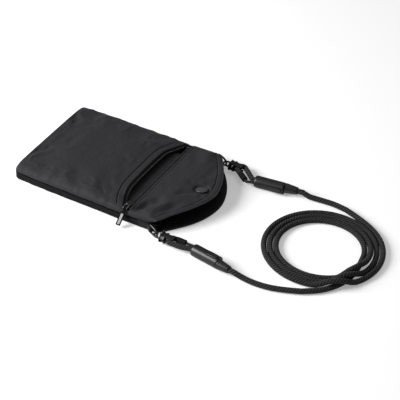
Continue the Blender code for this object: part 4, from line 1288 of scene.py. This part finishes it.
def upperPlace(u, v):
    side, roll = rolledSide(roundedColumn(u))
    across = side * pouch["halfWidth"]
    start = pouch["zipPlace"] + pouch["lipSetBack"]
    end = frontEdge(across)
    up = start + (end - start) * v
    height = upperHeight(across, up)
    # past the end of the side seams the cloth is free and lies nearly flat
    past = ease((up - pouch["length"] + 0.012) / 0.016)
    freeHeight = pouch["flapTop"] - 0.0022 * ease((abs(side) - 0.80) / 0.20)
    height += (freeHeight - height) * past
    edge = end - up
    away = math.hypot(across, up - snap["up"])
    # the press stud leans back, so the cloth is pressed in more on its far side
    lean = (0.857 * across + 0.515 * (up - snap["up"])) / 0.0062
    dimple = (0.0013 - 0.0013 * min(max(lean, -1.0), 1.0)) * ease(1 - (away - 0.0058) / 0.0040)
    pucker = 0.00030 * ease(1 - abs(away - 0.0110) / 0.0070) * math.cos(7 * math.atan2(up - snap["up"], across))
    hem = ease((0.0072 - edge) / 0.0008) * ease((1 - abs(side)) / 0.02)
    lines = math.exp(-((edge - 0.0068) / 0.00055) ** 2) + 0.6 * math.exp(-((edge - 0.0016) / 0.0004) ** 2)
    inner = ease((1 - abs(side)) / 0.08)
    height += inner * (
        foldAt(across, up, upperFolds)
        + 0.00080 * softNoise(across, up, 0.028, 5.3)
        + 0.00034 * softNoise(across, up, 0.011, 2.9)
        + 0.00010 * softNoise(across, up, 0.005, 8.2)
    )
    height += 0.00030 * hem - 0.00075 * lines * inner - dimple + pucker
    height -= 0.00055 * math.exp(-((up - start - 0.0026) / 0.00050) ** 2) * inner
    height -= 0.0009 * ease(1 - (up - start) / 0.0012)
    height += (0.0006 - 0.0012 * roll) * (1 - past)
    return toWorld(bulged(across, up) - math.copysign(0.0012, side) * roll ** 2 * (1 - past), up, height)


def upperSurfacePoint(across, up):
    # finds the grid share that lies at this place, to set things on the same cloth
    share = abs(across) / pouch["halfWidth"]
    side = math.copysign(1 - (1 - min(share * 0.98, 1.0)) ** (1 / 1.6), across)
    start = pouch["zipPlace"] + pouch["lipSetBack"]
    return upperPlace((side + 1) / 2, (up - start) / (frontEdge(across) - start))


def buildUpper():
    upper = makeCloth("upperFront", 150, 110, upperPlace, pouch["cloth"])
    upper.data.materials.clear()
    upper.data.materials.append(clothMaterial)
    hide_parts("upper_front_panel", "flap_panel")
    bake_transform(upper)
    for index, inset in enumerate((0.0068, 0.0016)):
        line = [upperSurfacePoint(across, frontEdge(across) - inset) for across in acrossPlaces(0.0580, 160)]
        row = stitchRow("flapStitching_%d" % (index + 1), line, 0.0020, 0.0025, 0.00050)
        row.data.materials.append(threadMaterial)
        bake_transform(row)
    up = pouch["zipPlace"] + pouch["lipSetBack"] + 0.0026
    line = [upperSurfacePoint(across, up) + Vector((0, 0, 0.00008)) for across in acrossPlaces(0.0560, 120)]
    row = stitchRow("zipStitching", line, 0.0019, 0.0024, 0.00042)
    dress(row, threadMaterial, "pouch_body", "cloth")


def backPlace(u, v):
    side = roundedColumn(u)
    up = backEdge(side * pouch["halfWidth"]) * v
    across = side * sideAt(up, pouch["halfWidth"])
    free = ease((up - pouch["length"] + 0.002) / 0.012)
    height = 0.0012 + free * (0.0006 * (1 + softNoise(across, up, 0.016, 9.1)))
    height += 0.0008 * ease((abs(side) - 0.93) / 0.07) * (1 - free)
    return toWorld(bulged(across, up), up, height)


def liningPlace(u, v):
    side = roundedColumn(u)
    up = 0.0015 + (backEdge(side * 0.0590) - 0.0035) * v
    across = side * sideAt(up, 0.0590)
    ripple = 0.00025 * ease((up - 0.1525) / 0.012) * (1 + 2 * softNoise(across, up, 0.012, 4.4))
    return toWorld(across, up, 0.0023 + ripple)


def buildBack():
    back = makeCloth("backPanel", 90, 120, backPlace, 0.0011)
    dress(back, clothMaterial, "pouch_body", "cloth", "back_panel")
    backLining = makeCloth("backLining", 70, 110, liningPlace, lining["cloth"])
    dress(backLining, liningMaterial, "pouch_body", "lining", "back_lining")
    line = []
    for across in acrossPlaces(0.0560, 120):
        up = backEdge(across) - 0.0060
        line.append(toWorld(across, up, 0.00285 + 0.0002 * softNoise(across, up, 0.012, 4.4)))
    row = stitchRow("backStitching", line, 0.0021, 0.0026, 0.00040)
    dress(row, threadMaterial, "pouch_body", "cloth")


band = {"low": 0.0007, "high": 0.0086, "cloth": 0.0009}
lining = {"halfWidth": 0.0592, "start": 0.0014, "cloth": 0.0004, "facingHalf": 0.0555, "facing": 0.0066}
tape = {"halfWidth": 0.0562, "width": 0.0076, "cloth": 0.0005}


def bandPath(part):
    # outline of the side band with its way out: near side, bottom with both corners, or far side
    half = pouch["halfWidth"]
    radius = pouch["cornerRadius"]
    straight = pouch["length"] - radius
    if part == "near":
        return [(half, radius + straight * step / 60, 1.0, 0.0) for step in range(61)]
    if part == "far":
        return [(-half, pouch["length"] - straight * step / 60, -1.0, 0.0) for step in range(61)]
    middle = half - radius
    path = []
    turns = [math.pi / 2 * step / 12 for step in range(13)]
    for turn in turns:
        outX, outY = -math.cos(turn), -math.sin(turn)
        path.append((-middle + radius * outX, radius + radius * outY, outX, outY))
    path += [(across, 0.0, 0.0, -1.0) for across in acrossPlaces(middle, 40)[1:-1]]
    for turn in turns:
        outX, outY = math.sin(turn), -math.cos(turn)
        path.append((middle + radius * outX, radius + radius * outY, outX, outY))
    return path


def buildBand():
    low, high = band["low"], band["high"]
    for part in ("near", "bottom", "far"):
        path = bandPath(part)
        lengths = [0.0]
        for start, end in zip(path, path[1:]):
            lengths.append(lengths[-1] + math.hypot(end[0] - start[0], end[1] - start[1]))

        tuck = 0.0008 if part == "bottom" else 0.0

        def place(u, v):
            x, y, outX, outY = path[min(round(u * (len(path) - 1)), len(path) - 1)]
            swell = math.sin(math.pi * v)
            belly = 0.0006 * swell - 0.0006 * ease(1 - v / 0.10) - 0.0018 * ease(1 - (1 - v) / 0.20)
            belly += 0.00045 * softNoise(x + y, v * 0.01, 0.009, 6.6) - tuck * swell
            belly += 0.0006 * (1 - v) * ease(v / 0.10) * abs(outX)
            return toWorld(bulged(x, y) + outX * belly, y + outY * belly, low + (high - low) * v)

        def flat(u, v):
            return (lengths[min(round(u * (len(path) - 1)), len(path) - 1)], (high - low) * v)

        strip = makeCloth("sideBand_" + part, len(path) - 1, 14, place, band["cloth"], flatOf=flat)
        dress(strip, bandMaterial, "pouch_body", "cloth", "gusset_" + part)
    # a welt where the front meets the band, along the whole seam; its near-black colour is painted shade, for the
    # shadow in the seam's groove
    seam = [(x, y) for x, y, outX, outY in bandPath("far") + bandPath("bottom")[1:] + bandPath("near")[1:]]
    points = [toWorld(bulged(x, y) * 0.994, y + 0.0005, pouch["edgeHeight"] - 0.0008) for x, y in seam]
    shadeWelt = addTube("seamShadeWelt", points, 0.00075, sides=10, pattern=0.0015)
    dress(shadeWelt, seamShadeMaterial, "pouch_body", "cloth")


def frontUnder(across, up):
    slope = (pocketHeight(across + gap, up) - pocketHeight(across - gap, up)) / (2 * gap)
    return pocketHeight(across, up) - pouch["cloth"] * math.sqrt(1 + slope ** 2) - 2 * gap


def buildLinings():
    def dividerPlace(u, v):
        side = roundedColumn(u)
        up = lining["start"] + (pouch["length"] - lining["start"]) * v
        across = side * sideAt(up, lining["halfWidth"])
        ripple = 0.00030 * softNoise(across, up, 0.018, 1.7) * ease((1 - abs(side)) / 0.2)
        return toWorld(across, up, dividerHeight(across, up) + ripple)

    divider = makeCloth("pocketWall", 90, 100, dividerPlace, 0.0006)
    dress(divider, liningMaterial, "pouch_body", "lining", "divider_panel")

    def flapLiningPlace(u, v):
        across = (2 * u - 1) * 0.0495
        start = flapHinge["place"] + 0.0004
        up = start + (frontEdge(across) - 0.0012 - start) * v
        height = upperSurfacePoint(across, up).z - pouch["cloth"] - 0.00035
        return toWorld(across, up, height)

    flapLining = makeCloth("flapLining", 80, 36, flapLiningPlace, lining["cloth"])
    dress(flapLining, liningMaterial, "front_flap", "lining", "flap_lining")

    def pocketFacingPlace(u, v):
        across = (2 * u - 1) * lining["facingHalf"]
        up = zipLip(across) - 0.0061 - lining["facing"] * (1 - v)
        height = pocketHeight(across, zipLip(across)) - pouch["cloth"] - 0.0012
        return toWorld(across, up, min(height, frontUnder(across, up)))

    def zipFacingPlace(u, v):
        across = (2 * u - 1) * lining["facingHalf"]
        up = pouch["zipPlace"] + 0.0048 + lining["facing"] * v
        height = min(0.0130, upperHeight(across, up) - pouch["cloth"] - 0.0016)
        return toWorld(across, up, height)

    facing = makeCloth("pocketFacing", 80, 10, pocketFacingPlace, lining["cloth"])
    dress(facing, liningMaterial, "pouch_body", "lining", "pocket_facing")
    upperFacing = makeCloth("zipFacing", 80, 10, zipFacingPlace, lining["cloth"])
    dress(upperFacing, liningMaterial, "pouch_body", "lining", "zip_facing")


def buildTapes():
    def frontTapePlace(u, v):
        across = (2 * u - 1) * tape["halfWidth"]
        up = zipLip(across) + 0.0017 - tape["width"] * (1 - v)
        return toWorld(across, up, frontUnder(across, zipLip(across)) - 0.0001)

    def backTapePlace(u, v):
        across = (2 * u - 1) * tape["halfWidth"]
        up = pouch["zipPlace"] + 0.0023 + tape["width"] * v
        slope = (upperHeight(across + gap, up) - upperHeight(across - gap, up)) / (2 * gap)
        under = upperHeight(across, up) - pouch["cloth"] * math.sqrt(1 + slope ** 2) - gap
        return toWorld(across, up, min(0.01355, under))

    front = makeCloth("zipTapeFront", 120, 8, frontTapePlace, tape["cloth"])
    dress(front, tapeMaterial, "pouch_body", "webbing", "zipper_tape_front")
    back = makeCloth("zipTapeBack", 120, 8, backTapePlace, tape["cloth"])
    dress(back, tapeMaterial, "pouch_body", "webbing", "zipper_tape_back")


def buildTeeth():
    # one moulded tooth, copied along the edge of each tape
    for name, node in (("zipTeethFront", "zipper_teeth_front"), ("zipTeethBack", "zipper_teeth_back")):
        tooth = addBlock("tooth", (0.00085, 0.0017, 0.0010), (0, 0, 0))
        roundEdges(tooth, 0.0002, 2)
        base = tooth.data.copy()
        bpy.data.objects.remove(tooth, do_unlink=True)
        line = []
        for across in acrossPlaces(0.0532, 160):
            lip = zipLip(across)
            if name == "zipTeethFront":
                line.append(toWorld(across, lip + 0.0026, frontUnder(across, lip) - 0.00035))
            else:
                line.append(toWorld(across, pouch["zipPlace"] + 0.0014, 0.0133))
        row = copyAlong(name, base, line, 0.00135)
        dress(row, teethMaterial, "pouch_body", "zip_teeth", node)
    for word in ("near", "far"):
        low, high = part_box("zipper_stop_" + word)
        stop = addBlock("zipStop_" + word, high - low, (low + high) / 2)
        roundEdges(stop, 0.00028, 3)
        dress(stop, gunmetalMaterial, "pouch_body", "hardware_metal", "zipper_stop_" + word)


buildBack()
buildBand()
buildLinings()
buildTapes()
buildTeeth()
buildFront()
buildUpper()
print("pouch sewn")


def bevelAlong(piece, axis, width, segments, test=None):
    # rounds the edges that run along one axis, of those whose middle passes the test
    selectOnly(piece)
    bpy.ops.object.mode_set(mode="EDIT")
    bpy.ops.mesh.select_mode(type="EDGE")
    model = bmesh.from_edit_mesh(piece.data)
    for edge in model.edges:
        middle = (edge.verts[0].co + edge.verts[1].co) / 2
        way = (edge.verts[1].co - edge.verts[0].co).normalized()
        edge.select_set(abs(way["XYZ".index(axis)]) > 0.9 and (test is None or test(middle)))
    bmesh.update_edit_mesh(piece.data)
    bpy.ops.mesh.bevel(offset=width, segments=segments, affect="EDGES")
    bpy.ops.object.mode_set(mode="OBJECT")


slider = {
    "place": 0.0496,
    "topPlate": (0.0090, 0.0068, 0.0007),
    "underPlate": (0.0090, 0.0084, 0.0006),
    "corner": 0.0021,
    "channel": (0.0125, 0.0141),
    "top": 0.0148,
    "bail": 0.0540,
    "bailHeight": 0.0163,
}
puller = {
    "linkLength": 0.0060,
    "linkHalfWidth": 0.0011,
    "linkCorner": 0.0009,
    "linkWire": 0.00045,
    "linkSlope": math.radians(12),
    "plateSlope": math.radians(42),
    # sizes and places along the plate, from the eye that the link holds
    "plate": ((0.0139, 0.0050, 0.0008), 0.01033),
    "neck": ((0.0046, 0.0024, 0.0008), 0.00228),
    "panel": ((0.0108, 0.0027, 0.0004), 0.0108),
    "panelLevel": 0.00047,
    "eye": 0.00118,
    "eyeHole": 0.00078,
}


def buildSlider():
    zipY = pouch["zipPlace"] - originPlace
    low, high = slider["channel"]
    place = slider["place"]
    body = addBlock("zipSlider", slider["topPlate"], (place, zipY, high + slider["topPlate"][2] / 2))
    bevelAlong(body, "Z", slider["corner"], 5)
    roundEdges(body, 0.00022, 2, 40)
    under = addBlock("underPlate", slider["underPlate"], (place, zipY, low - slider["underPlate"][2] / 2))
    bevelAlong(under, "Z", slider["corner"], 5)
    roundEdges(under, 0.00018, 2, 40)
    post = addBlock("post", (0.0018, 0.0007, 0.0029), (place - 0.0027, zipY, (low + slider["top"]) / 2))
    bail = addBlock("bail", (0.0030, 0.0020, 0.0033), (slider["bail"], zipY, 0.01575))
    bevelAlong(bail, "Y", 0.0013, 6, lambda middle: middle.z > 0.016)
    roundEdges(bail, 0.00025, 2, 40)
    rib = addBlock("rib", (0.0050, 0.0016, 0.0006), (place - 0.0012, zipY, slider["top"] - 0.0001))
    roundEdges(rib, 0.0003, 3)
    for part in (under, post, bail, rib):
        cutWith(body, part, "UNION")
    cutWith(body, addDrum("bailHole", 0.00080, 0.006, (slider["bail"], zipY, slider["bailHeight"]), "Y", 24))
    smoothShade(body)
    dress(body, gunmetalMaterial, "zip_slider", "slider_metal", "zipper_slider")

    start = Vector((slider["bail"], zipY, slider["bailHeight"]))
    way = Vector((math.cos(puller["linkSlope"]), 0, -math.sin(puller["linkSlope"])))
    points = []
    corner = puller["linkCorner"]
    for end, side, turnStart in ((1, 1, 0), (0, 1, 90), (0, -1, 180), (1, -1, 270)):
        for step in range(7):
            turn = math.radians(turnStart + 90 * step / 6)
            along = end * (puller["linkLength"] - 2 * corner) + corner + corner * math.cos(turn)
            out = side * puller["linkHalfWidth"] + corner * math.sin(turn)
            points.append(start + way * along + Vector((0, out, 0)))
    link = addTube("pullerLink", points, puller["linkWire"], sides=14, closed=True)
    dress(link, brightMaterial, "puller_link_body", "slider_metal", "puller_link")

    # the plate is made flat, with a pressed panel on both faces, then hung from the link
    size, place = puller["plate"]
    plate = addBlock("pullerPlate", size, (place, 0, 0))
    bevelAlong(plate, "Z", 0.0010, 5, lambda middle: middle.x > 0.01)
    bevelAlong(plate, "Z", 0.0012, 5, lambda middle: middle.x < 0.005)
    roundEdges(plate, 0.00016, 2, 40)
    size, place = puller["neck"]
    neck = addBlock("neck", size, (place, 0, 0))
    roundEdges(neck, 0.00012, 2, 40)
    cutWith(plate, neck, "UNION")
    eye = addDrum("eye", puller["eye"], size[1], (0, 0, 0), "Y", 32)
    roundEdges(eye, 0.00015, 2, 40)
    cutWith(plate, eye, "UNION")
    size, place = puller["panel"]
    for level in (puller["panelLevel"], -puller["panelLevel"]):
        panel = addBlock("panel", size, (place, 0, level))
        bevelAlong(panel, "Z", 0.0006, 4)
        cutWith(plate, panel)
    cutWith(plate, addDrum("eyeHole", puller["eyeHole"], 0.006, (0, 0, 0), "Y", 24))
    faces = plate.data.polygons
    pressed = [face.index for face in faces if abs(face.normal.z) > 0.9 and abs(face.center.z) < 0.0003]
    hung = Matrix.Rotation(puller["plateSlope"], 4, "Y")
    hung = Matrix.Translation(start + way * puller["linkLength"]) @ hung
    finishPiece(plate, hung, enamelMaterial, "puller_plate_body", "slider_metal", "puller_plate")
    plate.data.materials.append(plateMaterial)
    for index in pressed:
        plate.data.polygons[index].material_index = 1


# the profiles of the lathe run along Y, so some are stood up
standUp = Matrix.Rotation(math.pi / 2, 4, "X")
studProfile = [
    (0.0, 0.0), (0.0050, 0.0), (0.0052, 0.0002), (0.0052, 0.0005), (0.0049, 0.0007), (0.0026, 0.0008),
    (0.0017, 0.0011), (0.0017, 0.0015), (0.0021, 0.0019), (0.0022, 0.0022), (0.0020, 0.0025), (0.0015, 0.0027),
    (0.0, 0.0027),
]


def buildSnap():
    where = Vector((0, snap["up"] - originPlace, 0))
    radius = snap["capRadius"]
    dome = [(0.0, 0.0), (radius * 0.94, 0.0), (radius, 0.00022), (radius, 0.00040)]
    for step in range(1, 12):
        turn = math.pi / 2 * step / 12
        dome.append((radius * math.cos(turn), 0.00040 + 0.00100 * math.sin(turn)))
    cap = turnShape("snapCap", dome + [(0.0, 0.00140)], 64)
    lean = Matrix.Rotation(snap["lean"], 4, Vector((0.515, -0.857, 0)))
    place = Matrix.Translation(where + Vector((0, 0, pouch["flapTop"] - 0.0006))) @ lean @ standUp
    finishPiece(cap, place, glossMaterial, "front_flap", "gloss_black", "snap_cap", 50)

    low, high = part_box("snap_socket")
    height = high.z - low.z
    socket = turnShape("snapSocket", [
        (0.0, height), (0.0048, height), (0.0050, height - 0.0002), (0.0050, height * 0.40),
        (0.0047, height * 0.30), (0.0039, 0.00015), (0.0035, 0.0), (0.0029, 0.0), (0.0027, 0.0002),
        (0.0027, 0.0010), (0.0024, 0.0012), (0.0, 0.0012),
    ])
    place = Matrix.Translation(where + Vector((0, 0, low.z))) @ standUp
    finishPiece(socket, place, gunmetalMaterial, "front_flap", "hardware_metal", "snap_socket", 40)

    place = Matrix.Translation(where + Vector((0, 0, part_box("snap_stud")[0].z))) @ standUp
    stud = turnShape("snapStud", studProfile)
    finishPiece(stud, place, gunmetalMaterial, "pouch_body", "hardware_metal", "snap_stud", 40)


def buildTab(word):
    side = hook[word][1]
    barPlace = pouch["length"] - webbing["barBack"]
    root = pouch["length"] - webbing["rootBack"]
    seam = webbing["seam"]
    path = [(webbing["innerPly"], root + seam * step / 12) for step in range(13)]
    for step in range(25):
        turn = math.pi * (1.12 - 1.18 * step / 24)
        reach = webbing["foldRadius"]
        path.append((webbing["barOut"] + reach * math.cos(turn), barPlace + reach * math.sin(turn)))
    path += [(webbing["outerPly"], root + seam * (1 - step / 12)) for step in range(13)]
    path = [Vector((x, y, 0)) for x, y in path]
    spine = [path[0]]
    for start, end in zip(path, path[1:]):
        pieces = max(1, round((end - start).length / webbing["cloth"]))
        spine += [start.lerp(end, piece / pieces) for piece in range(1, pieces + 1)]
    for smoothing in range(3):
        middle = [(spine[i - 1] + spine[i] * 2 + spine[i + 1]) / 4 for i in range(1, len(spine) - 1)]
        spine = [spine[0]] + middle + [spine[-1]]
    last = len(spine) - 1

    def place(u, v):
        point = spine[min(round(u * last), last)]
        return toWorld(side * point.x, point.y, webbing["level"] + webbing["width"] * (v - 0.5) * side)

    def flat(u, v):
        return (u * last * webbing["cloth"], v * webbing["width"])

    tab = makeCloth("ringTab_" + word, last, 10, place, webbing["cloth"], flatOf=flat)
    dress(tab, webbingMaterial, "pouch_body", "webbing", "tab_" + word)
    for index, up in enumerate((root + 0.0012, root + 0.0100)):
        line = [toWorld(side * 0.0624, up, webbing["level"] + 0.0054 * (step / 10 - 0.5)) for step in range(11)]
        name = "tabStitching_%s_%d" % (word, index + 1)
        row = stitchRow(name, line, 0.0011, 0.0012, 0.00045, normal=Vector((side, 0, 0)))
        dress(row, threadMaterial, "pouch_body", "webbing")


def buildRing(word):
    bar = ringBar(word)
    way = ringWay(word)
    outline = []
    for step in range(97):
        turn = math.pi / 2 - math.pi * step / 96
        reach = abs(math.cos(turn)) ** 0.7 * hook["ringReach"]
        rise = math.copysign(abs(math.sin(turn)) ** 0.7, math.sin(turn)) * 0.0045
        outline.append(Vector((reach, rise, 0)))
    outline += [Vector((0.0, -0.0045 + 0.0090 * step / 18, 0)) for step in range(1, 18)]
    # even steps round the loop, then a few rounds of smoothing for the bends beside the bar
    closed = outline + [outline[0]]
    lengths = runLengths(closed)
    even = []
    index = 0
    for step in range(84):
        target = lengths[-1] * step / 84
        while lengths[index + 1] < target:
            index += 1
        part = (target - lengths[index]) / (lengths[index + 1] - lengths[index])
        even.append(closed[index].lerp(closed[index + 1], part))
    for smoothing in range(3):
        even = [(even[i - 1] + even[i] * 2 + even[(i + 1) % len(even)]) / 4 for i in range(len(even))]
    points = [bar + way * point.x + Vector((0, 0, point.y)) for point in even]
    ring = addTube("ring_" + word, points, hook["wire"], sides=16, closed=True)
    dress(ring, gunmetalMaterial, "ring_" + word, "hardware_metal", "d_ring_" + word)


boltProfile = [
    (0.0, 0.0009), (0.0006, 0.0010), (0.0009, 0.0013), (0.0010, 0.0018), (0.0010, 0.0062), (0.0008, 0.0064),
    (0.0, 0.0064),
]
knobProfile = [
    (0.0, 0.0044), (0.0009, 0.0044), (0.0011, 0.0046), (0.00105, 0.0050), (0.0011, 0.0054), (0.0009, 0.0057),
    (0.0, 0.0058),
]
headProfile = [(0.0, 0.00415), (0.0008, 0.0041), (0.0013, 0.00395), (0.00135, 0.00382), (0.0009, 0.00382)]


def buildHook(word):
    side = hook[word][1]
    local = Matrix.Translation(hookMiddle(word)) @ Matrix.Diagonal((side, 1, 1, 1))
    start = hook["barrelStart"]
    end = start + hook["barrelLength"]
    body = addBlock("hookBody_" + word, hook["barrel"], (0, (start + end) / 2, 0))
    bevelAlong(body, "Y", 0.0019, 1)
    roundEdges(body, 0.0003, 2)
    half = hook["flange"][1] / 2
    for place in (start + half, end - half):
        flange = addBlock("flange", hook["flange"], (0, place, 0))
        bevelAlong(flange, "Y", 0.0021, 1)
        roundEdges(flange, 0.0003, 2, 40)
        cutWith(body, flange, "UNION")
    for level in (hook["cheekLevel"], -hook["cheekLevel"]):
        cheek = addBlock("cheek", hook["cheek"], (0, end + hook["cheekReach"], level))
        bevelAlong(cheek, "Z", 0.0014, 5, lambda middle: middle.y > end + 0.006)
        roundEdges(cheek, 0.00025, 2, 40)
        cutWith(body, cheek, "UNION")
    reach = hook["jaw"]
    turns = [math.pi * step / 24 for step in range(25)]
    points = [(reach, start + 0.0005, 0), (reach, 0.0024, 0), (reach, 0.0006, 0)]
    points += [(reach * math.cos(turn), -reach * math.sin(turn), 0) for turn in turns] + [(-reach, 0.0006, 0)]
    jaw = addTube("jaw", points, lambda share: hook["wire"] - hook["wireTaper"] * share, sides=20)
    cutWith(body, jaw, "UNION")
    window = addBlock("window", *hook["window"])
    roundEdges(window, 0.0005, 3)
    cutWith(body, window)
    cutWith(body, addDrum("boltBore", 0.0013, 0.0102, (-reach, start, 0), "Y", 24))
    slot = addBlock("slot", hook["slot"], (-reach, hook["slotPlace"], hook["slot"][2] / 2))
    bevelAlong(slot, "Z", 0.0008, 4)
    cutWith(body, slot)
    cutWith(body, addDrum("pinHole", 0.0012, 0.0140, (0, hook["pinPlace"], 0), "Z", 24))
    finishPiece(body, local, gunmetalMaterial, "pouch_body", "hardware_metal", "hook_body_" + word)

    bolt = turnShape("hookBolt_" + word, boltProfile, 28)
    bolt.data.transform(Matrix.Translation((-reach, 0, 0)))
    stem = addDrum("stem", hook["stemRadius"], 0.0050, (-reach, hook["stemPlace"], 0.0025), "Z", 20)
    cutWith(bolt, stem, "UNION")
    knob = turnShape("knob", knobProfile, 28)
    knob.data.transform(Matrix.Translation((-reach, hook["stemPlace"], 0)) @ standUp)
    cutWith(bolt, knob, "UNION")
    finishPiece(bolt, local, gunmetalMaterial, "bolt_" + word, "hardware_metal", "hook_bolt_" + word)

    otherHead = [(radius, -place) for radius, place in headProfile]
    pin = turnShape("loopPin_" + word, otherHead + headProfile[::-1], 28)
    pin.data.transform(Matrix.Translation((0, hook["pinPlace"], 0)) @ standUp)
    finishPiece(pin, local, gunmetalMaterial, "pouch_body", "hardware_metal", "loop_pin_" + word)


rimProfile = [
    (0.0009, 0.0), (0.0003, 0.0002), (0.0, 0.0006), (0.0, 0.0009), (0.0002, 0.0010), (0.0002, 0.0013),
    (0.0, 0.0014), (0.0, 0.0060), (0.0, 0.0140), (0.0, 0.0220),
]
tipProfile = [
    (0.0031, 0.0), (0.0034, 0.0001), (0.0036, 0.0004), (0.0037, 0.0009), (0.00378, 0.0016), (0.0036, 0.0017),
    (0.0036, 0.0020), (0.00386, 0.0021),
]
noseProfile = [(0.0042, 0.0080), (0.0046, 0.0040), (0.0049, 0.0010), (0.00495, 0.0004), (0.0047, 0.0)]


def buildAdjuster(word):
    side = hook[word][1]
    local = adjusterFrame(word)
    length = adjuster["length"]
    radius = adjuster["radius"]
    profile = [(0.0, length)] + [(radius - inset, length - back) for inset, back in rimProfile]
    for step in range(11):
        turn = math.pi / 2 * step / 10
        curve = adjuster["endRound"]
        profile.append((radius - curve * (1 - math.cos(turn)), curve * (1 - math.sin(turn))))
    body = turnShape("adjusterBody_" + word, profile + [(0.0, 0.0)], 64)
    bore = adjuster["bore"]
    cutWith(body, addDrum("bore", bore, 3 * length, (side * adjuster["boreOffset"], length / 2, 0), "Y", 48))
    tailPlace = (-side * adjuster["tailOffset"], 0, 0)
    cutWith(body, addDrum("tailBore", adjuster["tailBore"], 2 * adjuster["tailDepth"], tailPlace, "Y", 32))
    tilt = Matrix.Rotation(0.0 if side > 0 else math.pi / 2, 4, "Y")
    buttonPlace = length - adjuster["buttonBack"]
    pocket = addBlock("pocket", adjuster["pocket"], (0, buttonPlace, radius))
    bevelAlong(pocket, "Z", 0.0012, 5)
    pocket.data.transform(tilt)
    cutWith(body, pocket)
    finishPiece(body, local, adjusterMaterial, "pouch_body", "adjuster_plastic", "adjuster_body_" + word)

    place = (0, buttonPlace, radius - adjuster["buttonSunk"])
    button = addBlock("lockButton_" + word, adjuster["button"], place)
    bevelAlong(button, "Z", 0.0010, 5)
    roundEdges(button, 0.0004, 3, 40)
    tilted = local @ tilt
    finishPiece(button, tilted, adjusterMaterial, "lock_" + word, "adjuster_plastic", "lock_button_" + word)

    tip = adjuster["noseLength"]
    outline = [(bore, tip)] + [(radius, tip - back) for radius, back in tipProfile] + noseProfile
    nose = turnShape("adjusterNose_" + word, outline + [(bore, 0.0), (bore, tip)], 64)
    place = local @ Matrix.Translation((side * adjuster["boreOffset"], length + gap, 0))
    finishPiece(nose, place, adjusterMaterial, "pouch_body", "adjuster_plastic", "adjuster_nose_" + word)


buildSlider()
buildSnap()
print("zip slider and press stud made")
for word in ("near", "far"):
    buildTab(word)
    buildRing(word)
    buildHook(word)
    buildAdjuster(word)
print("rings, hooks and adjusters made")
